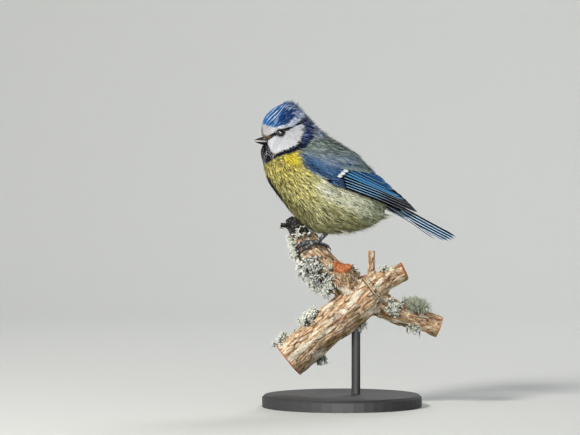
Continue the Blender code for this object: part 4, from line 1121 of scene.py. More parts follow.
def build_coat(skin_points, skin_faces, sheet, material):
    """Tufts over the skin and over the shoulders that rise to the wings, and a strip under the wing tips."""
    rng = np.random.default_rng(5)
    sheet_points, sheet_faces, sheet_out = sheet
    # No tufts grow where the folded wing covers the skin, or close under its tip
    inside = edge_distance(skin_points[:, (0, 2)], WING_OUTLINE)
    beside = np.abs(skin_points[:, 1])
    under_tip = (inside > -1.4) & (skin_points[:, 0] > SHOULDER_END_X + 0.5)
    covered = ((inside > 2.2) & (beside > 2.0)) | (under_tip & (beside > 0.8))
    open_faces = skin_faces[~covered[skin_faces].any(axis=1)]
    mirrored = sheet_points * np.array((1.0, -1.0, 1.0))
    lay_points = np.vstack((skin_points, sheet_points, mirrored))
    count = len(skin_points)
    other = count + len(sheet_points)
    tree = tree_of(lay_points, np.vstack((open_faces, sheet_faces + count, sheet_faces[:, ::-1] + other)))
    # The wing's lower edge stands clear, so no tufts grow on the sheet along it
    sheet_x = sheet_points[:, 0]
    halfway = (edge_height(WING_LOWER, sheet_x) + edge_height(WING_UPPER, sheet_x)) / 2
    lower_edge = (sheet_x > LOWER_EDGE_X) & (sheet_points[:, 2] < halfway)
    rim = (sheet_out > -0.8) & (sheet_x < SHOULDER_END_X) & ~lower_edge
    bare = (lower_edge & (sheet_out > 0.9))[sheet_faces].any(axis=1)
    sheet_faces = sheet_faces[~bare]
    rim_faces = sheet_faces[rim[sheet_faces].all(axis=1)]
    root_faces = np.vstack((open_faces, rim_faces + count, rim_faces[:, ::-1] + other))
    length, width = tuft_sizes(lay_points)
    roots, _ = scatter(lay_points, root_faces, 1.0 / (length * width), COAT_TUFTS, rng)
    mouth = (roots[:, 0] < GAPE_X + 0.8) & (np.abs(roots[:, 2] - MOUTH_Z) < GAPE_HALF)
    roots = roots[~(mouth & (np.abs(roots[:, 1]) < 3.2))]
    total = len(roots)
    share = coat_share(roots)
    lengths, widths = tuft_sizes(roots)
    lengths = lengths * rng.uniform(0.7, 1.2, total)
    widths = widths * rng.uniform(0.75, 1.25, total)
    lifts = coat_lifts(roots, rng)
    stray = (rng.random(total) < 0.05) & (share > 0.25)
    lifts = np.where(stray, lifts * 1.5 + 0.25, lifts)
    turn = rng.normal(0.0, 0.13, total) + np.where(stray, rng.normal(0.0, 0.3, total), 0.0)
    turn = turn + noise_at(roots, 0.22) * 0.22
    lines, ups, ways = lay(tree, roots, lengths, lifts, 3, turn, lie)
    keep = clear_of_eyes(lines)
    lines, ups, ways, roots, share, widths = (rows[keep] for rows in (lines, ups, ways, roots, share, widths))
    points, faces, shares = tufts(lines, ups, ways, widths, COAT_BARBS, 0.12 + 0.09 * share, rng)
    colours = coat_colours(lines, points, ways, shares, rng)
    uv = patch_uv(roots, COAT_BARBS, shares, body_unwrap)
    coat_pieces("coat", points, faces, colours, uv, material)
    # Short, flat tufts fill the strip just under the wing tips
    strip = (under_tip & (inside < 0.4))[skin_faces].any(axis=1)
    rng = np.random.default_rng(9)
    roots, _ = scatter(skin_points, skin_faces[strip], np.ones(count), 260, rng)
    extra_tufts("under_wing_tips", tree_of(skin_points, skin_faces), roots, (1.6, 2.6), (0.45, 0.75),
                (0.1, 0.35), 0.15, rng, material)


def extra_tufts(name, tree, roots, lengths, widths, lifts, turn, rng, material, tones=None, vary=0.3, fan=0.5,
                longer=1.0):
    """Tufts on the body in ranges of lengths, widths and lifts, in given tones or in the plumage's own."""
    total = len(roots)
    lengths = longer * rng.uniform(*lengths, total)
    widths = rng.uniform(*widths, total)
    lifts = rng.uniform(*lifts, total)
    turn = rng.normal(0.0, turn, total)
    lay_tufts(name, tree, roots, lengths, widths, lifts, turn, material, tones, vary, fan)


def lay_tufts(name, tree, roots, lengths, widths, lifts, turn, material, tones=None, vary=0.3, fan=0.5):
    """Tufts of given sizes in one coat piece of their own."""
    rng = np.random.default_rng(len(name) * 31)
    laid = lay(tree, roots, lengths, lifts, 4, turn, lie)
    tones = tones or plumage(laid[0][:, 3])
    tuft_piece(name, roots, laid, widths, 5, 0.11 + 0.06 * widths, tones, rng, material, fan=fan,
               ragged=0.3, root_shade=0.4, vary=vary)


def spray(name, roots, tips, up, widths, barb_width, barbs, shades, material, root_shade=0.7):
    """Loose tufts that run straight from their roots to their tips, in one shade or one for each."""
    rng = np.random.default_rng(len(name) * 17)
    count = len(roots)
    lines = roots[:, None] + (tips - roots)[:, None] * np.linspace(0, 1, 4)[None, :, None]
    ups = np.repeat(unit(np.broadcast_to(up, roots.shape))[:, None], 4, axis=1)
    ways = np.repeat(unit(tips - roots)[:, None], 4, axis=1)
    shades = np.broadcast_to(shades, roots.shape)
    tuft_piece(name, roots, (lines, ups, ways), widths, barbs, np.full(count, barb_width),
               (shades, shades, np.zeros(count)), rng, material, fan=0.2, root_shade=root_shade)


WISP_PALE = srgb(240, 242, 222)
WISP_BUFF = srgb(206, 200, 158)
WISP_DARK = srgb(110, 104, 66)
WISP_WHITE = srgb(244, 245, 232)
VENT_DARK = srgb(104, 106, 72)
THIGH_PALE = srgb(236, 238, 216)


def build_wisps(tree, material):
    """Wisps that stand out at the belly, the vent and the thighs, and raised points on the crown."""
    rng = np.random.default_rng(44)
    count = 190
    roots = roots_below(tree, rng.uniform(-22.0, 16.0, count), rng.normal(0.0, 2.8, count))
    count = len(roots)
    ways = unit(np.stack((rng.uniform(0.6, 1.0, count), rng.normal(0.0, 0.2, count),
                          rng.uniform(-0.9, -0.35, count)), axis=1))
    tips = roots + ways * rng.uniform(3.2, 5.8, count)[:, None]
    shades = mix(plumage(roots)[0], WISP_PALE, rng.uniform(0.0, 0.7, count))
    spray("belly_wisps", roots, tips, (0.4, 0.0, -1.0), rng.uniform(0.45, 0.85, count), 0.17, 6, shades,
          material)
    # Vent wisps reach back under the tail
    count = 44
    roots = roots_below(tree, rng.uniform(12.5, 19.5, count), rng.normal(0.0, 2.0, count))
    count = len(roots)
    tips = np.stack((np.clip(roots[:, 0] + rng.uniform(6.0, 10.0, count), 0.0, 28.0), roots[:, 1] * 1.3,
                     rng.uniform(92.8, 96.6, count)), axis=1)
    shades = mix(WISP_BUFF, WISP_DARK, rng.random(count) ** 2)
    spray("vent_wisps", roots, tips, (0.1, -0.3, -1.0), rng.uniform(0.5, 0.9, count), 0.18, 6, shades,
          material)
    # A few white ones hang over each thigh
    starts, tips = [], []
    for side in (-1.0, 1.0):
        for _ in range(14):
            start = np.array((rng.uniform(-5.0, 1.0), side * rng.uniform(7.0, 8.5), rng.uniform(91.0, 93.0)))
            starts.append(start)
            tips.append(start + np.array((rng.uniform(3.5, 5.5), side * 0.2, rng.uniform(-4.6, -3.0))))
    starts, tips = np.array(starts), np.array(tips)
    place, normal = nearest(tree, starts)
    shift = place + normal * 1.6 - starts
    widths = rng.uniform(0.5, 0.8, len(starts))
    spray("thigh_wisps", starts + shift, tips + shift * 0.8, normal, widths, 0.2, 5, WISP_WHITE, material,
          0.85)
    # Points of raised crown feathers
    count = 110
    roots = roots_above(tree, rng.uniform(-31.0, -14.5, count), rng.normal(0.0, 1.3, count))
    count = len(roots)
    rise = np.radians(edge_height(CROWN_LEAN, roots[:, 0]) + rng.uniform(6.0, 34.0, count))
    ways = np.stack((np.cos(rise), rng.normal(0.0, 0.15, count), np.sin(rise)), axis=1)
    tips = roots + unit(ways) * rng.uniform(2.6, 4.2, count)[:, None]
    main, streak, _ = plumage(roots)
    shades = mix(main, streak, (rng.random(count) < 0.45) * 0.8)
    spray("crown_points", roots, tips, (-0.5, 0.0, 1.0), rng.uniform(0.7, 1.1, count), 0.34, 8, shades,
          material)


def surface_roots(tree, xs, ys, start, way):
    """Places where rays from the height start, moved by x and y, meet a surface."""
    hits = [tree.ray_cast(Vector((x, y, start)), Vector((0.0, 0.0, way)))[0] for x, y in zip(xs, ys)]
    return np.array([hit for hit in hits if hit is not None])


def roots_below(tree, xs, ys):
    """Places on the underside."""
    return surface_roots(tree, xs, ys, 60.0, 1.0)


def roots_above(tree, xs, ys):
    """Places on the upper side."""
    return surface_roots(tree, xs, ys, 170.0, -1.0)


def build_crest(tree, material):
    """Longer feathers over the crown and nape that end in loose points, raised most at the crown's rear."""
    rng = np.random.default_rng(12)
    count = 900
    roots = roots_above(tree, rng.uniform(-31.0, -9.0, count), rng.normal(0.0, 3.2, count))
    count = len(roots)
    rear = band(roots[:, 0], -30.5, -17.0, 2.0)
    nape = smooth_step(-19.0, -15.0, roots[:, 0])
    lengths = (3.0 + 0.8 * rear + 1.2 * nape) * rng.uniform(0.75, 1.2, count)
    lifts = (0.7 + 1.5 * rear + 1.1 * nape) * rng.uniform(0.35, 1.2, count)
    widths = rng.uniform(0.35, 0.75, count)
    lay_tufts("crest", tree, roots, lengths, widths, lifts, rng.normal(0.0, 0.15, count), material,
              fan=0.3)


def build_vent(tree, material):
    """Loose feathers that fluff out the belly's outline: under the tail, along the belly, over the thighs."""
    rng = np.random.default_rng(18)
    count = 280
    roots = roots_below(tree, rng.uniform(8.0, 20.5, count), rng.normal(0.0, 2.6, count))
    roots = roots[(roots[:, 0] < 17.0) | (np.abs(roots[:, 1]) < 1.8)]
    rear = smooth_step(8.0, 20.0, roots[:, 0])
    base = mix(BELLY, VENT_BUFF, 0.4 + 0.6 * rear)
    tones = (base, np.broadcast_to(VENT_DARK, roots.shape), np.full(len(roots), 0.36))
    extra_tufts("vent", tree, roots, (0.7, 1.15), (0.5, 0.9), (0.4, 2.2), 0.25, rng, material, tones,
                vary=0.45, fan=0.25, longer=4.5 + 3.4 * rear)
    count = 620
    roots = roots_below(tree, rng.uniform(-26.0, 14.0, count), rng.normal(0.0, 3.6, count))
    extra_tufts("belly_fringe", tree, roots, (3.4, 6.2), (0.45, 0.8), (0.4, 1.8), 0.3, rng, material,
                vary=0.5, fan=0.25)
    count = 200
    sides = np.where(rng.random(count) < 0.5, -1.0, 1.0)
    roots = roots_below(tree, rng.uniform(-9.0, 3.0, count), sides * rng.uniform(2.0, 6.5, count))
    base = mix(THIGH_PALE, BELLY, rng.random(len(roots)))
    tones = (base, np.broadcast_to(OLIVE, roots.shape), np.full(len(roots), 0.30))
    extra_tufts("thighs", tree, roots, (4.0, 7.0), (0.4, 0.8), (1.0, 3.0), 0.3, rng, material, tones,
                vary=0.45, fan=0.25)


COVERT_STREAK = srgb(84, 122, 168)
SHOULDER_STREAK = srgb(150, 168, 186)


def build_small_coverts(sheet, material):
    """Short rounded feathers over the front of each wing, before the rows of longer coverts."""
    rng = np.random.default_rng(9)
    sheet_points, sheet_faces, sheet_out = sheet
    total = 2200

    def field(places, normals):
        return along_surface(np.tile((0.90, 0.0, -0.42), (len(places), 1)), normals)

    for side, word in ((1.0, "left"), (-1.0, "right")):
        points = sheet_points * np.array((1.0, side, 1.0))
        faces = sheet_faces if side > 0 else sheet_faces[:, ::-1]
        tree = tree_of(points, faces)
        front = (sheet_out < 0.6) & (sheet_points[:, 0] < -5.6 + 0.5 * (sheet_points[:, 2] - 116.0))
        roots, _ = scatter(points, faces[front[faces].all(axis=1)], np.ones(len(points)), total, rng)
        lengths = rng.uniform(2.2, 3.8, total)
        widths = rng.uniform(0.7, 1.2, total)
        lifts = rng.uniform(0.4, 0.9, total)
        lines, ups, ways = lay(tree, roots, lengths, lifts, 3, rng.normal(0.0, 0.12, total), field)
        laid = (lines + ups * 0.25, ups, ways)
        low, high = edge_height(WING_LOWER, roots[:, 0]), edge_height(WING_UPPER, roots[:, 0])
        share = (roots[:, 2] - low) / (high - low)
        base = mix(COVERT_DEEP, COVERT_BLUE, smooth_step(0.1, 0.45, share))
        base = mix(base, SHOULDER_GREY, smooth_step(0.62, 0.95, share) * 0.8)
        tones = (base, mix(COVERT_STREAK, SHOULDER_STREAK, share * 0.6), np.full(total, 0.34))
        tuft_piece("small_coverts_" + word, roots, laid, widths, 8, np.full(total, 0.16), tones, rng,
                   material, root_shade=0.35, unwrap=wing_unwrap)


def wing_unwrap(points):
    """The bake's place of a point on a wing: the wing is nearly flat, so its own plane serves."""
    return np.stack(((points[:, 0] + 27.0) / 66.0, (points[:, 2] - 94.0) / 66.0), axis=1)


# The head's parts
BILL_ROOT_X = -36.9
BILL_HALF_WIDTH = 1.9
UPPER_BILL_HEIGHT = 3.1
LOWER_BILL_HEIGHT = 2.6
BILL_EDGE = srgb(206, 200, 192)
BILL_DARK = srgb(14, 15, 22)
BILL_HIGHLIGHT = srgb(64, 66, 78)
PUPIL_BLACK = srgb(8, 7, 7)
IRIS_BROWN = srgb(28, 19, 14)
LID_UPPER = srgb(44, 40, 42)
LID_LOWER = srgb(34, 31, 34)
LID_DARK = srgb(10, 9, 11)
BRISTLE_PALE = srgb(206, 188, 160)
BRISTLE_DARK = srgb(24, 20, 19)
WHISKER_GREY = srgb(30, 30, 34)
CHIN_BLACK = srgb(10, 10, 13)
CHIN_PALE = srgb(176, 180, 192)
GROOVE_BLACK = srgb(8, 8, 10)
SCALE_GREY = srgb(52, 53, 60)
SCALE_PALE = srgb(196, 198, 208)
CLAW_BLACK = srgb(16, 16, 19)


def build_bill(material):
    """The two halves of the bill, with a bowed ridge, a pale cutting edge, a painted highlight along their
    tops and a gap for the mouth.
    """
    steps, sides = 26, 32
    for name, upper in (("bill_upper", True), ("bill_lower", False)):
        height = UPPER_BILL_HEIGHT if upper else LOWER_BILL_HEIGHT
        sign = 1.0 if upper else -1.0
        tip_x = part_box(name)[0].x / MM
        flat_z = MOUTH_Z + sign * 0.07
        points, colours = [], []
        for i in range(steps + 1):
            share = i / steps
            x = BILL_ROOT_X + (tip_x - BILL_ROOT_X) * share
            size = max((1.0 - share) ** 0.75, 0.06)
            droop = 0.2 * share ** 2 if upper else -0.05 * share
            for k in range(sides + 1):
                angle = math.pi * k / sides
                rise = math.sin(angle)
                wide = math.cos(angle) * BILL_HALF_WIDTH * size ** 0.8 * (1.0 - 0.12 * rise ** 2)
                points.append((x, wide, flat_z + droop + sign * rise ** 0.85 * height * size))
                above = rise * height * size
                dark = smooth_step(0.10, 0.26, above) if upper else smooth_step(0.0, 0.12, above)
                # Painted highlight: a lighter grey along the top of each half, strongest on the upper one
                culmen_highlight = dark * smooth_step(0.8, 0.95, rise) * (1.0 if upper else 0.3)
                colours.append(mix(mix(BILL_EDGE, BILL_DARK, dark), BILL_HIGHLIGHT, 0.5 * culmen_highlight))
        count = sides + 1
        faces = grid_faces(steps + 1, count)
        last = steps * count
        for k in range(1, count - 1):
            faces += [(0, k + 1, k), (last, last + k, last + k + 1)]
        faces = np.array(faces)[:, ::1 if upper else -1]
        obj = mesh_piece(name + "_horn", points, faces, material, np.array(colours))
        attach(obj, "root")
        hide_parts(name)


def build_eyes(ball_material, lid_material):
    """Glossy eyeballs with a dark brown iris, and the lids round them."""
    rings, sides = 30, 48
    for word in ("left", "right"):
        centre, radius, out, along, up = eye_frame(word)
        points = []
        for i in range(rings + 1):
            tilt = math.pi * i / rings
            for k in range(sides):
                turn = 2 * math.pi * k / sides
                spot = out * math.cos(tilt) + (along * math.cos(turn) + up * math.sin(turn)) * math.sin(tilt)
                points.append(centre + spot * (radius - 0.01))
        rows = np.repeat(np.arange(rings + 1), sides)
        iris = ((rows > 5) & (rows < 11)) * 1.0
        faces = oriented(points, grid_faces(rings + 1, sides))
        ball = mesh_piece("eyeball_" + word, points, faces, ball_material, mix(PUPIL_BLACK, IRIS_BROWN, iris))
        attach(ball, "root")
        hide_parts("eye_" + word)
        build_lids(word, lid_material)


def oriented(points, faces):
    """Faces of a closed mesh, turned to face outwards."""
    points, faces = np.asarray(points), np.asarray(faces)
    a, b, c = points[faces[:, 0]], points[faces[:, 1]], points[faces[:, 2]]
    volume = np.sum(a * np.cross(b, c))
    return faces if volume > 0 else faces[:, ::-1]


def build_lids(word, material):
    """The bare rims round the eye: an almond with its corner to the rear."""
    centre, radius, out, along, up = eye_frame(word)
    sides, bar_sides = 56, 8
    points, colours = [], []
    for i in range(sides):
        turn = 2 * math.pi * i / sides
        long, tall = math.cos(turn), math.sin(turn)
        corner = 0.28 * abs(long) ** 8 * (1.0 if long > 0 else 0.35)
        flat = along * (LID_LONG * long * (1.0 + corner)) + up * (LID_TALL * tall * (1.0 - 0.1 * long * long))
        reach = min(np.linalg.norm(flat), radius * 0.98)
        middle = centre + flat + out * (math.sqrt(radius * radius - reach ** 2) + 0.02)
        outward = unit(flat)
        thick = LID_BAR * (1.0 - 0.35 * abs(long) ** 6)
        for k in range(bar_sides):
            angle = 2 * math.pi * k / bar_sides
            points.append(middle + outward * math.cos(angle) * thick + out * math.sin(angle) * thick * 0.8)
            colours.append(mix(LID_UPPER if tall > 0.2 else LID_LOWER, LID_DARK, abs(long) ** 2))
    faces = np.array(grid_faces(sides + 1, bar_sides)) % len(points)
    lid = mesh_piece("eyelid_" + word, points, oriented(points, faces), material, np.array(colours))
    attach(lid, "root")


def build_bristles(material):
    """Short nasal feathers that lie forward over the bill's root, whiskers at the gape, and the chin."""
    rng = np.random.default_rng(15)
    roots, tips, shades = [], [], []
    for side in (-1.0, 1.0):
        for _ in range(90):
            angle = rng.uniform(0.1, 1.0)
            root = np.array((-37.3 + rng.uniform(-1.0, 0.8),
                             side * 2.2 * math.cos(angle) * rng.uniform(0.75, 1.1),
                             MOUTH_Z + 0.7 + 2.1 * math.sin(angle)))
            way = (-rng.uniform(1.0, 2.0), side * rng.uniform(-0.1, 0.35), rng.uniform(-0.45, 0.1))
            roots.append(root)
            tips.append(root + np.array(way))
            shades.append(BRISTLE_DARK if rng.random() < 0.45 else BRISTLE_PALE)
        for _ in range(14):
            root = np.array((-36.9, side * 2.1, MOUTH_Z + rng.uniform(-0.8, 0.7)))
            way = (-rng.uniform(0.8, 1.9), side * rng.uniform(0.2, 0.6), rng.uniform(-0.6, 0.5))
            roots.append(root)
            tips.append(root + np.array(way))
            shades.append(WHISKER_GREY)
    roots, tips = np.array(roots), np.array(tips)
    ups = np.stack((np.zeros(len(roots)), np.sign(roots[:, 1]), np.full(len(roots), 0.5)), axis=1)
    spray("nasal_bristles", roots, tips, ups, np.full(len(roots), 0.25), 0.09, 3, np.array(shades), material)
    count = 170
    roots = np.stack((rng.uniform(-38.4, -36.6, count), rng.uniform(-2.6, 2.6, count),
                      MOUTH_Z - rng.uniform(1.9, 3.0, count)), axis=1)
    tips = roots + np.stack((rng.uniform(-2.6, -1.2, count), 0.1 * roots[:, 1],
                             rng.uniform(-1.3, -0.3, count)), axis=1)
    ups = np.stack((np.full(count, -0.4), np.sign(roots[:, 1]), np.full(count, -0.5)), axis=1)
    shades = mix(CHIN_BLACK, CHIN_PALE, (rng.random(count) < 0.14) * 1.0)
    spray("chin_feathers", roots, tips, ups, rng.uniform(0.4, 0.7, count), 0.16, 5, shades, material)


PLATE_LENGTH = 0.85


def build_feet(leg_material, claw_material):
    """Legs, feet and claws, rounded from their solids, with plates along the toes and shanks, and painted
    light that makes the tops of legs and toes lighter and their undersides darker.
    """
    for side, word in ((-1.0, "left"), (1.0, "right")):
        for kind, push, base_light in (("leg_", 0.42, 0.5), ("foot_", 0.16, 0.4)):
            name = kind + word
            points, faces = node_points((name,), push)
            points, faces = remeshed(points, faces, 0.11, 4)
            normals = point_normals(points, faces)
            if kind == "leg_":
                low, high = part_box(name)
                size = high - low
                along = points @ unit(np.array((size.x, size.y * side * 0.2, size.z)))
            else:
                along = points[:, 0] * 0.35 + points[:, 2] * 0.6 + np.abs(points[:, 1]) * 0.9
            plate = (along / PLATE_LENGTH) % 1.0
            groove = np.minimum(plate, 1.0 - plate)
            step = smooth_step(0.0, 0.16, groove) - 1.0
            points = points + normals * (step * 0.10)[:, None]
            tone = mix(GROOVE_BLACK, SCALE_GREY, smooth_step(0.04, 0.26, groove))
            fleck = smooth_step(0.0, 0.25, noise_at(points, 1.3))
            # Painted light: tops are lighter and carry more pale flecks, undersides darker
            top = smooth_step(-0.3, 0.8, normals[:, 2])
            tone = mix(tone, SCALE_PALE, fleck * (0.25 + 0.6 * top) * smooth_step(0.06, 0.25, groove))
            colours = tone * (base_light + 0.75 * top)[:, None]
            obj = mesh_piece(name + "_scaled", points, faces, leg_material, colours)
            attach(obj, "root")
            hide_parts(name)
        for toe in "1234":
            name = "claw_%s_%s" % (word, toe)
            points, faces = node_points((name,), 0.06)
            points, faces = remeshed(points, faces, 0.09, 3)
            colours = np.tile(CLAW_BLACK, (len(points), 1))
            obj = mesh_piece(name + "_horn", points, faces, claw_material, colours)
            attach(obj, "root")
            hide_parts(name)


# The perch: its limbs as lines between points, and its ends with their ways and radii
LIMB_LINES = (
    ((17.0, 0.0, 59.0), (-27.0, 0.0, 23.3), 9.8),
    ((-24.4, 3.6, 94.8), (-13.5, 0.0, 75.0), 6.3),
    ((-13.5, 0.0, 75.0), (5.0, 0.0, 60.0), 8.0),
    ((14.0, 0.5, 54.5), (49.0, 2.0, 39.8), 6.0),
    ((12.0, 0.0, 57.0), (31.4, -1.0, 68.2), 5.6),
    ((5.0, -1.5, 55.0), (1.0, -7.2, 70.6), 4.3),
    ((15.0, 0.0, 62.0), (14.8, -0.8, 78.3), 2.0),
    ((-24.0, 1.0, 88.0), (-30.8, -0.8, 91.2), 1.3),
)
PERCH_ENDS = (
    ((1.0, -7.2, 70.6), (-1.6, -2.7, 7.6), 3.9),
    ((31.4, -1.0, 68.2), (9.4, -0.5, 4.6), 4.9),
    ((49.0, 2.0, 39.8), (13.0, 0.5, -4.5), 5.6),
    ((-27.0, 0.0, 23.3), (-10.0, 0.0, -8.2), 10.3),
    ((-24.4, 3.6, 94.8), (-2.6, 1.2, 5.3), 4.6),
)
GRAIN_KEEP = 0.22
# Marks on the side that faces the camera, in (x, z): peeled patches, a knot and a loose strip
PEELED = (
    (((-2.5, 41.5), (-8.0, 38.0), (-13.5, 34.4), (-20.5, 29.0), (-27.5, 23.0)), (0.2, 1.2, 0.5, 1.8, 1.3)),
    (((2.0, 50.0), (5.5, 54.0), (9.0, 58.5)), (0.6, 1.6, 1.0)),
    (((15.0, 59.5), (19.5, 63.5)), (0.8, 1.0)),
    (((-16.0, 20.5), (-8.0, 27.0)), (0.7, 1.0)),
)
KNOT = np.array((-1.6, 45.0))
STRIP = (((10.6, 64.4), (16.0, 57.5), (22.0, 51.0)), (0.28, 0.34, 0.25))


BARK = {
    "pale": srgb(236, 208, 172),
    "tan": srgb(198, 160, 122),
    "rust": srgb(184, 122, 82),
    "brown": srgb(112, 84, 60),
    "fleck": srgb(236, 226, 204),
    "olive": srgb(128, 114, 58),
    "cream": srgb(240, 232, 212),
    "cream_shade": srgb(208, 200, 176),
    "knot": srgb(150, 88, 66),
    "knot_dark": srgb(58, 48, 48),
    "strip_shadow": srgb(52, 38, 28),
    "strip": srgb(214, 190, 150),
    "lichen_shadow": srgb(74, 72, 54),
    "crack": srgb(70, 44, 28),
    "char": srgb(22, 20, 21),
    "ash": srgb(104, 98, 92),
    "wood": srgb(214, 136, 88),
    "wood_ring": srgb(162, 94, 54),
}


def limb_ways(points):
    """For each point, the direction and the start of the limb whose surface is nearest."""
    best = np.full(len(points), 1e9)
    ways = np.zeros_like(points)
    starts = np.zeros_like(points)
    for start, end, radius in LIMB_LINES:
        start, end = np.array(start), np.array(end)
        edge = end - start
        share = np.clip(((points - start) @ edge) / (edge @ edge), 0.0, 1.0)
        gap = np.linalg.norm(points - start - share[:, None] * edge, axis=1) - radius
        nearer = gap < best
        best = np.where(nearer, gap, best)
        ways[nearer] = unit(edge)
        starts[nearer] = start
    return ways, starts


def build_perch(material):
    """The branch: fissured bark with peeled patches, sawn faces and a burnt top."""
    points, faces = node_points(("perch",), 0.1)
    points, faces = remeshed(points, faces, 0.42, 3)
    normals = point_normals(points, faces)
    ways, starts = limb_ways(points)
    off = points - starts
    along = off - ways * np.sum(off * ways, axis=1, keepdims=True) * (1.0 - GRAIN_KEEP) + starts * 3.0
    lump = noise_at(points, 0.16, 3.0)
    furrow = 1.0 - np.abs(noise_at(along, 0.62, 9.0)) * 2.6
    crack = 1.0 - np.abs(noise_at(along, 1.15, 31.0)) * 3.2
    fine = noise_at(points, 1.4, 40.0)

    # Sawn faces at the ends: the burnt one wraps over its edge
    face_cut = np.zeros(len(points))
    radial = np.zeros(len(points))
    for end, (centre, way, radius) in enumerate(PERCH_ENDS):
        off = points - np.array(centre)
        way = unit(np.array(way))
        depth = off @ way
        away = np.linalg.norm(off - depth[:, None] * way, axis=1)
        wrap = 1.3 if end == 0 else 0.0
        on_face = smooth_step(-0.8 - wrap, -0.25 - wrap, depth) * (depth < 3.0)
        on_face = on_face * smooth_step(radius + 0.8 + wrap, radius - 0.3 + wrap, away)
        face_cut = np.maximum(face_cut, on_face)
        radial = np.where(on_face > 0.3, away, radial)

    # Relief: furrows and cracks along the limbs, peeled patches, the knot's ring and the loose strip's bed
    patch = noise_at(along, 0.34, 60.0, 2)
    peel = smooth_step(0.34, 0.42, patch) * 0.9
    flat = points[:, (0, 2)]
    front = smooth_step(0.0, -0.3, normals[:, 1]) * (points[:, 1] < -1.0)
    ragged = 0.35 * noise_at(points, 0.9, 21.0)
    for line, halves in PEELED:
        bare = smooth_step(0.25, -0.25, line_distance(flat, line, halves) + ragged)
        peel = np.maximum(peel, bare * front)
    from_knot = np.linalg.norm((flat - KNOT) * np.array((0.7, 1.0)), axis=1) + ragged
    knot = smooth_step(3.4, 2.2, from_knot) * front
    under_strip = band(line_distance(flat, *STRIP), -0.5, 0.5, 0.2) * front
    height = 0.45 * lump - 0.42 * np.clip(furrow, 0.0, 1.0) ** 2 * (1.0 - 0.7 * peel)
    height = height - 0.22 * np.clip(crack, 0.0, 1.0) ** 2 * (1.0 - peel) + 0.12 * fine - 0.22 * peel
    height = height - 0.25 * under_strip + 0.35 * band(from_knot, 1.6, 2.8, 0.4) * front
    height = (1.0 - face_cut) * height + face_cut * 0.10 * np.sin(radial * 5.2)
    points = points + normals * (np.minimum(height, 0.45))[:, None]

    # Colours: tan and orange-brown bark, cream where it has peeled, dark in its cracks, olive beneath as an
    # olive tinge with painted shade on the undersides, and painted shadows under the lichens and the loose
    # strip
    def lay_on(name, share):
        nonlocal colours
        colours = mix(colours, BARK[name], share)

    shade = smooth_step(-0.25, 0.25, noise_at(along, 0.8, 80.0))
    colours = mix(BARK["pale"], BARK["tan"], shade)
    lay_on("rust", smooth_step(0.12, 0.4, noise_at(along, 0.42, 120.0)) * 0.5)
    mottle = smooth_step(0.08, 0.35, noise_at(points, 1.5, 140.0))
    lay_on("brown", mottle * 0.4)
    lay_on("fleck", smooth_step(0.12, 0.38, noise_at(along, 1.25, 160.0)) * 0.6)
    # Painted shade with an olive tinge on the limbs' undersides
    lay_on("olive", smooth_step(0.1, -0.7, normals[:, 2]) * smooth_step(-0.4, 0.2, lump) * 0.7)
    colours = mix(colours, mix(BARK["cream"], BARK["cream_shade"], 0.7 * shade), peel * 0.9)
    knot_tone = mix(BARK["knot"], BARK["knot_dark"], smooth_step(-1.6, -3.4, flat[:, 0]))
    colours = mix(colours, knot_tone, knot * (0.35 + 0.5 * mottle))
    # Painted shadow under the loose strip of bark
    lay_on("strip_shadow", under_strip * 0.7)
    # Painted shadow: the bark darkens close under each lichen clump
    clumps = tree_of(*node_points(["perch_lichen_" + clump[0] for clump in LICHENS]))
    shaded = np.array([clumps.find_nearest(point, 1.6)[0] is not None for point in points])
    lay_on("lichen_shadow", shaded * 0.8)
    dark = np.maximum(smooth_step(0.55, 0.95, furrow) * 0.85, smooth_step(0.6, 1.0, crack) * 0.6)
    lay_on("crack", np.maximum(dark * (1.0 - 0.85 * peel), band(patch, 0.02, 0.09, 0.02) * 0.55))
    upper = smooth_step(82.0, 88.0, points[:, 2] + 2.0 * lump) * smooth_step(-12.0, -17.0, points[:, 0])
    char = mix(BARK["char"], BARK["ash"], smooth_step(0.05, 0.35, noise_at(points, 1.0, 200.0, 2)) * 0.7)
    colours = mix(colours, char, upper)
    wood = mix(BARK["wood"], BARK["wood_ring"], 0.5 + 0.5 * np.sin(radial * 3.4 + 2.0 * lump))
    colours = mix(colours, np.where((points[:, 2] > 84.0)[:, None], char, wood), face_cut)
    colours = colours * (1.0 + 0.35 * fine[:, None] + 0.2 * noise_at(along, 2.2, 5.0)[:, None])
    colours = np.clip(colours, 0.004, 0.95)
    obj = mesh_piece("perch_bark", points, faces, material, colours, extra={"grain": along * MM})
    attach(obj, "root")
    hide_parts("perch")
    bark_tree = tree_of(points, faces)
    build_strip(bark_tree)
    return bark_tree


def strand(path, radii, sides=4):
    """A thin tapered tube with flat ends."""
    path = np.asarray(path)
    way = unit(path[-1] - path[0])
    side = unit(np.cross(way, (0.31, 0.74, 0.59)))
    other = np.cross(way, side)
    angles = 2 * math.pi * np.arange(sides) / sides
    ring = np.cos(angles)[:, None] * side + np.sin(angles)[:, None] * other * 0.75
    points = (path[:, None] + np.asarray(radii)[:, None, None] * ring[None]).reshape(-1, 3)
    faces = grid_faces(len(path), sides)
    last = (len(path) - 1) * sides
    for k in range(1, sides - 1):
        faces += [(0, k + 1, k), (last, last + k, last + k + 1)]
    return points, faces


def grow(rng, start, way, length, radius, depth, parts, droop):
    """A lichen branch that forks, flattened and curling, down to its fine tips."""
    bend = rng.normal(0.0, 0.32, 3)
    middle = start + way * length * 0.5 + bend * length * 0.14
    end = start + unit(way + bend * 0.55 + np.array((0.0, 0.0, -droop))) * length
    radii = (radius, radius * 0.95, radius * (0.85 if depth else 0.6))
    parts.append((strand((start, middle, end), radii), depth))
    if depth == 0:
        return
    for _ in range(2 if rng.random() < 0.75 else 3):
        fork = unit(way + rng.normal(0.0, 0.62, 3))
        grow(rng, end, fork, length * rng.uniform(0.6, 0.9), radius * 0.85, depth - 1, parts, droop)


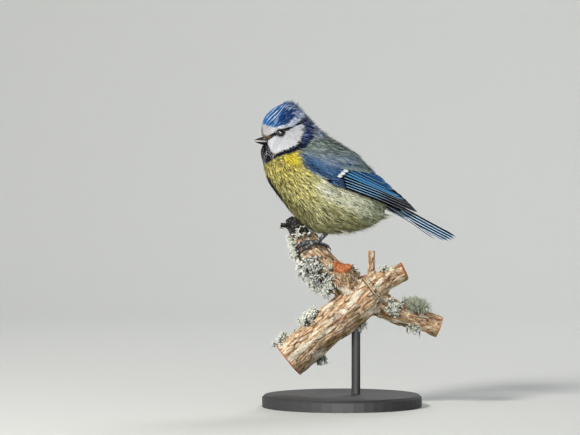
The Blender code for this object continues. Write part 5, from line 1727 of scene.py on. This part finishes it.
def build_strip(bark_tree):
    """A loose strip of bark that lies over the branch."""
    line, halves = STRIP
    share = np.linspace(0.0, 1.0, 16)
    knots = np.linspace(0.0, 1.0, len(line))
    path = []
    for x, z in zip(*(np.interp(share, knots, values) for values in zip(*line))):
        place = bark_tree.ray_cast((x, -60.0, z), (0.0, 1.0, 0.0))[0]
        path.append((x, place[1] - 0.1, z + 0.35 * math.sin(x * 0.6)))
    points, faces = strand(path, np.interp(share, knots, halves) * (1.0 - 0.5 * share ** 6), sides=6)
    colours = BARK["strip"] * (0.85 + 0.25 * np.sin(np.arange(len(points)) * 2.1))[:, None]
    material = painted("strip", 0.8, 900.0, 0.4)
    obj = mesh_piece("perch_strip", points, oriented(points, faces), material, colours)
    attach(obj, "root")


# Lichens: clump, bushes, forks, length and radius of a branch, colour, and how far bushes reach outwards
LICHENS = (
    ("gripped_top", 70, 2, 1.4, 0.38, (246, 248, 240), 0.9),
    ("gripped_low", 82, 2, 2.1, 0.50, (252, 253, 248), 1.05),
    ("side", 150, 3, 2.3, 0.16, (214, 220, 200), 1.3),
    ("main_top", 70, 2, 1.4, 0.34, (240, 243, 234), 0.9),
    ("main_low", 90, 2, 1.8, 0.42, (244, 247, 238), 1.0),
)
# Smaller growths beside the clumps: place on the bark, spread, bushes
LICHEN_SPECKS = (
    ((6.0, -3.0, 69.0), 1.6, 12), ((20.5, -2.0, 68.5), 2.4, 22), ((13.0, -2.0, 37.0), 2.2, 26),
    ((-34.0, -2.0, 40.0), 5.0, 40), ((-14.0, -3.0, 45.5), 3.6, 34), ((36.0, -2.0, 38.0), 3.4, 26),
    ((-20.0, -4.0, 86.5), 2.6, 22), ((-9.0, -8.0, 66.0), 4.6, 40), ((-14.5, -8.0, 71.0), 3.4, 24),
    ((-6.5, -8.0, 60.0), 3.4, 30), ((-27.0, -3.0, 82.0), 2.6, 46), ((-27.0, -3.0, 76.5), 2.6, 40),
    ((26.0, -5.0, 50.0), 3.6, 70), ((-28.0, -2.0, 79.0), 3.4, 60),
)
# Growths that hang below the gripped limb: place on the bark, spread, bushes
LICHEN_HANGING = (((-14.5, -5.0, 61.5), 4.0, 60), ((-9.0, -6.0, 58.5), 3.0, 40))


LICHEN_GREEN = srgb(142, 156, 112)
SPECK_WHITE = srgb(244, 246, 238)


def lichen_piece(name, parts, levels, tone, rng, material):
    """One mesh from strands, pale at their tips and greener at their roots, and darker at their roots as
    painted shade inside the clump.
    """
    points, faces, colours, first = [], [], [], 0
    for (strand_points, strand_faces), level in parts:
        points.append(strand_points)
        faces.append(np.array(strand_faces) + first)
        first += len(strand_points)
        # Painted shade: strands darken towards the clump's roots
        value = rng.uniform(0.82, 1.08) * (1.0 - 0.80 * (level / levels) ** 0.8)
        green = rng.uniform(0.0, 0.25) + 0.45 * level / levels
        colours.append(np.tile(mix(tone, LICHEN_GREEN, green) * value, (len(strand_points), 1)))
    colours = np.clip(np.vstack(colours), 0.0, 0.9)
    return mesh_piece(name, np.vstack(points), np.vstack(faces), material, colours)


def build_lichens(bark_tree, material):
    """Forked lichens that grow out of the bark, inside the reach of each solid clump, and a few specks."""
    for name, count, depth, length, radius, colour, reach_share in LICHENS:
        node = "perch_lichen_" + name
        solid_points, solid_faces = node_points((node,))
        rng = np.random.default_rng(len(name) * 7 + count)
        count = count
        seeds, _ = scatter(solid_points, solid_faces, np.ones(len(solid_points)), count, rng)
        parts = []
        for seed, anchor, normal in zip(seeds, *nearest(bark_tree, seeds)):
            start = anchor - normal * 0.3
            reach = np.linalg.norm(seed - start)
            out = unit(seed - start + normal * 0.4)
            base = start + out * max(reach * reach_share - length * 1.2, 0.0) * rng.uniform(0.25, 1.0)
            way = unit(out + rng.normal(0.0, 0.3, 3))
            grow(rng, base, way, length * rng.uniform(0.6, 1.1), radius, depth, parts, 0.1)
            if reach > 1.5:
                sag = (start + base) / 2 + rng.normal(0.0, 0.25, 3)
                parts.append((strand((start, sag, base), (radius * 1.1, radius, radius)), depth))
        piece = lichen_piece("lichen_" + name, parts, depth, srgb(*colour), rng, material)
        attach(piece, "root")
        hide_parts(node)
    rng = np.random.default_rng(77)
    parts = []
    for growths, hang, wander, shortest, longest, radius, droop in (
            (LICHEN_SPECKS, (0.0, 0.0, 0.0), 0.4, 0.9, 1.7, 0.40, 0.0),
            (LICHEN_HANGING, (-0.3, -0.2, -1.0), 0.3, 1.6, 2.6, 0.42, 0.2)):
        for place, spread, count in growths:
            near = np.array(place) + rng.normal(0.0, spread * 0.5, (count, 3))
            for anchor, normal in zip(*nearest(bark_tree, near)):
                way = unit(normal + np.array(hang) + rng.normal(0.0, wander, 3))
                length = rng.uniform(shortest, longest)
                grow(rng, anchor - normal * 0.2, way, length, radius, 2, parts, droop)
    piece = lichen_piece("lichen_specks", parts, 2, SPECK_WHITE, rng, material)
    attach(piece, "root")


# Materials
def new_material(name):
    """A material with its main shader."""
    made = bpy.data.materials.new(name)
    made.use_nodes = True
    return made, made.node_tree.nodes["Principled BSDF"]


def add_node(made, kind, inputs, **settings):
    """A shader node whose inputs are given as values or as the outputs that feed them."""
    node = made.node_tree.nodes.new("ShaderNode" + kind)
    for field, value in settings.items():
        setattr(node, field, value)
    set_inputs(made, node, inputs)
    return node


def set_inputs(made, node, inputs):
    """Sets a node's inputs to values, or links the outputs that feed them."""
    for socket, value in inputs.items():
        if isinstance(value, bpy.types.NodeSocket):
            made.node_tree.links.new(value, node.inputs[socket])
        else:
            node.inputs[socket].default_value = value


def mesh_value(made, name, output="Color"):
    """An attribute of the mesh as a shader value."""
    return add_node(made, "Attribute", {}, attribute_name=name).outputs[output]


def fine_noise(made, scale, detail, place=None):
    """Noise of the given scale, on the object's own coordinates or on a given place."""
    if place is None:
        place = add_node(made, "TexCoord", {}).outputs["Object"]
    inputs = {"Scale": scale, "Detail": detail, "Vector": place}
    return add_node(made, "TexNoise", inputs).outputs["Fac"]


def add_bump(made, shader, height, strength, distance, under=None):
    """Relief on a shader from a height, over another relief if one is given."""
    inputs = {"Strength": strength, "Distance": distance, "Height": height}
    if under is not None:
        inputs["Normal"] = under
    set_inputs(made, shader, {"Normal": add_node(made, "Bump", inputs).outputs["Normal"]})


def scaled_colour(made, colour, level):
    """A shader colour made lighter or darker by a level."""
    inputs = {0: colour, "Scale": level}
    return add_node(made, "VectorMath", inputs, operation="SCALE").outputs["Vector"]


def painted(name, roughness, bump_scale, bump, coat=0.0, variation=0.12, specular=0.5):
    """A material that takes its colour from the mesh, varied by fine noise that also sets its bump."""
    made, shader = new_material(name)
    grain = fine_noise(made, bump_scale, 4.0)
    level = add_node(made, "MapRange", {"To Min": 1.0 - variation, "To Max": 1.0 + variation, "Value": grain})
    low, high = roughness - 0.08, roughness + 0.08
    rough = add_node(made, "MapRange", {"To Min": low, "To Max": high, "Value": grain})
    add_bump(made, shader, grain, bump, 0.0002)
    set_inputs(made, shader, {
        "Base Color": scaled_colour(made, mesh_value(made, "plumage"), level.outputs["Result"]),
        "Roughness": rough.outputs["Result"],
        "Coat Weight": coat,
        "Coat Roughness": 0.05,
        "Specular IOR Level": specular,
    })
    return made


def fissured(name):
    """The bark's material: its colour cut by fine dark cracks that run along each limb."""
    made = painted(name, 0.85, 1100.0, 0.9, variation=0.3, specular=0.15)
    shader = made.node_tree.nodes["Principled BSDF"]
    lines = fine_noise(made, 1900.0, 3.0, mesh_value(made, "grain", "Vector"))
    ramp = add_node(made, "MapRange", {"From Min": 0.34, "From Max": 0.50, "To Min": 0.60, "To Max": 1.08,
                                       "Value": lines}).outputs["Result"]
    colour = shader.inputs["Base Color"].links[0].from_socket
    set_inputs(made, shader, {"Base Color": scaled_colour(made, colour, ramp)})
    add_bump(made, shader, ramp, 0.7, 0.0003, shader.inputs["Normal"].links[0].from_socket)
    return made


def barbed(name):
    """The flight feathers' material: painted webs with fine slanted barbs on both sides of the shaft."""
    made = painted(name, 0.55, 900.0, 0.1, variation=0.05, specular=0.06)

    def step(operation, *values):
        inputs = dict(enumerate(values))
        return add_node(made, "Math", inputs, operation=operation).outputs["Value"]

    slant = step("ABSOLUTE", mesh_value(made, "across", "Fac"))
    lean = step("MULTIPLY_ADD", slant, 0.06, mesh_value(made, "along", "Fac"))
    ripple = step("SINE", step("MULTIPLY", lean, 420.0))
    add_bump(made, made.node_tree.nodes["Principled BSDF"], ripple, 0.25, 0.0001)
    return made


def stand_material():
    """Matt black paint with a fine grain."""
    made, shader = new_material("stand_paint")
    grain = fine_noise(made, 1800.0, 3.0)
    ramp = add_node(made, "ValToRGB", {"Fac": grain})
    ramp.color_ramp.elements[0].color = (0.020, 0.020, 0.022, 1.0)
    ramp.color_ramp.elements[1].color = (0.045, 0.045, 0.048, 1.0)
    add_bump(made, shader, grain, 0.3, 0.0001)
    set_inputs(made, shader, {"Base Color": ramp.outputs["Color"], "Roughness": 0.6, "Metallic": 0.2})
    return made


# Stage, lights and camera
PHOTO_SIZE = (580, 435)
MM_PER_PIXEL = 0.5
VIEW_CENTRE = (-26.0, 0.0, 94.75)
VIEW_RISE = math.radians(2.5)
LENS = 300.0
SENSOR = 36.0
LIGHT_TARGET = (-0.005, 0.0, 0.10)


def build_stage():
    """A pale floor that curves up into a backdrop."""
    made, shader = new_material("studio_paper")
    set_inputs(made, shader, {"Base Color": (0.62, 0.63, 0.62, 1.0), "Roughness": 0.9})
    half, front, back, bend, top = 2500.0, -2500.0, 700.0, 500.0, 1800.0
    profile = [(front, 0.0), (0.0, 0.0)]
    for i in range(13):
        angle = math.pi / 2 * i / 12
        profile.append((back + bend * math.sin(angle), bend - bend * math.cos(angle)))
    profile.append((back + bend, top))
    points = [(x, y, z) for y, z in profile for x in (-half, half)]
    faces = [(2 * i, 2 * i + 1, 2 * i + 3, 2 * i + 2) for i in range(len(profile) - 1)]
    floor = mesh_piece("studio_floor", points, faces, made)


def look_at(obj, place, target):
    """Places an object and turns it to face a target."""
    obj.location = place
    obj.rotation_euler = (Vector(target) - Vector(place)).to_track_quat("-Z", "Y").to_euler()
    bpy.context.scene.collection.objects.link(obj)


def area_light(name, place, size, power, colour=(1.0, 1.0, 1.0)):
    """A round light that faces the model."""
    data = bpy.data.lights.new(name, "AREA")
    data.shape = "DISK"
    data.size = size
    data.energy = power
    data.color = colour
    light = bpy.data.objects.new(name, data)
    look_at(light, place, LIGHT_TARGET)
    return light


def build_lights():
    """A warm key from the upper left, a front light for the breast, a fill, a rim and the eye's glint."""
    area_light("key", (-0.72, -0.82, 0.86), 0.32, 16.8, (1.0, 0.96, 0.89))
    area_light("front", (-1.3, -0.25, 0.34), 0.6, 4.4, (1.0, 0.98, 0.94))
    area_light("fill", (0.9, -1.1, 0.35), 1.0, 2.2, (0.90, 0.95, 1.0))
    area_light("rim", (0.35, 0.8, 0.9), 0.5, 5.0)
    catch = area_light("catch", (-0.035, -1.7, 0.24), 0.55, 44.0)
    catch.visible_camera = False
    catch.visible_diffuse = False
    world = bpy.data.worlds.new("studio")
    world.use_nodes = True
    world.node_tree.nodes["Background"].inputs["Color"].default_value = (0.80, 0.86, 0.92, 1.0)
    world.node_tree.nodes["Background"].inputs["Strength"].default_value = 0.24
    bpy.context.scene.world = world
    bpy.context.scene.view_settings.view_transform = "Standard"


def build_camera():
    """A long lens from the photo's side, a little above the bird, with the photo's frame."""
    data = bpy.data.cameras.new("camera")
    data.lens = LENS
    data.sensor_width = SENSOR
    data.clip_start = 0.05
    data.clip_end = 20.0
    camera = bpy.data.objects.new("camera", data)
    distance = PHOTO_SIZE[0] * MM_PER_PIXEL * LENS / SENSOR * MM
    centre = Vector(VIEW_CENTRE) * MM
    away = Vector((0.0, -math.cos(VIEW_RISE), math.sin(VIEW_RISE)))
    look_at(camera, centre + away * distance, centre)
    bpy.context.scene.camera = camera


def main():
    """Builds everything in the frame, from the coat to the camera."""
    # The body's coat
    feather = painted("small_feathers", 0.75, 1500.0, 0.15, specular=0.08)
    skin_paint = painted("skin", 0.8, 900.0, 0.4, specular=0.2)
    skin, skin_points, skin_faces = build_skin(skin_paint)
    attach(skin, "root")
    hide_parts("head", "neck", "torso")
    body_tree = tree_of(*node_points(("torso", "neck", "head")))
    sheet = wing_sheet(body_tree)
    skin_tree = tree_of(skin_points, skin_faces)
    build_coat(skin_points, skin_faces, sheet, feather)
    build_crest(skin_tree, feather)
    build_vent(skin_tree, feather)
    build_wisps(skin_tree, feather)

    # Wings and tail
    vane_paint = barbed("flight_webs")
    build_small_coverts(sheet, feather)
    for side, word in ((-1.0, "left"), (1.0, "right")):
        build_wing(body_tree, sheet, side, word, vane_paint)
    build_tail(vane_paint)

    # Bill, eyes, legs and claws
    build_bill(painted("bill_horn", 0.5, 1200.0, 0.12, specular=0.15))
    ball = painted("eye_gloss", 0.4, 300.0, 0.0, coat=1.0, variation=0.02, specular=0.0)
    set_inputs(ball, ball.node_tree.nodes["Principled BSDF"], {"Coat IOR": 1.6, "Coat Roughness": 0.02})
    build_eyes(ball, skin_paint)
    build_bristles(feather)
    scale = painted("leg_scales", 0.5, 1400.0, 0.3, specular=0.3)
    claw = painted("claw_horn", 0.35, 900.0, 0.1, coat=0.15, specular=0.3)
    build_feet(scale, claw)

    # Branch, stand and studio
    bark_tree = build_perch(fissured("bark"))
    build_lichens(bark_tree, painted("lichen", 0.9, 1600.0, 0.5, variation=0.15, specular=0.15))
    stand = stand_material()
    for node in ("stand_base", "stand_rod"):
        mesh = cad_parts[node].data
        mesh.materials.clear()
        mesh.materials.append(stand)
    build_stage()
    build_lights()
    build_camera()


main()
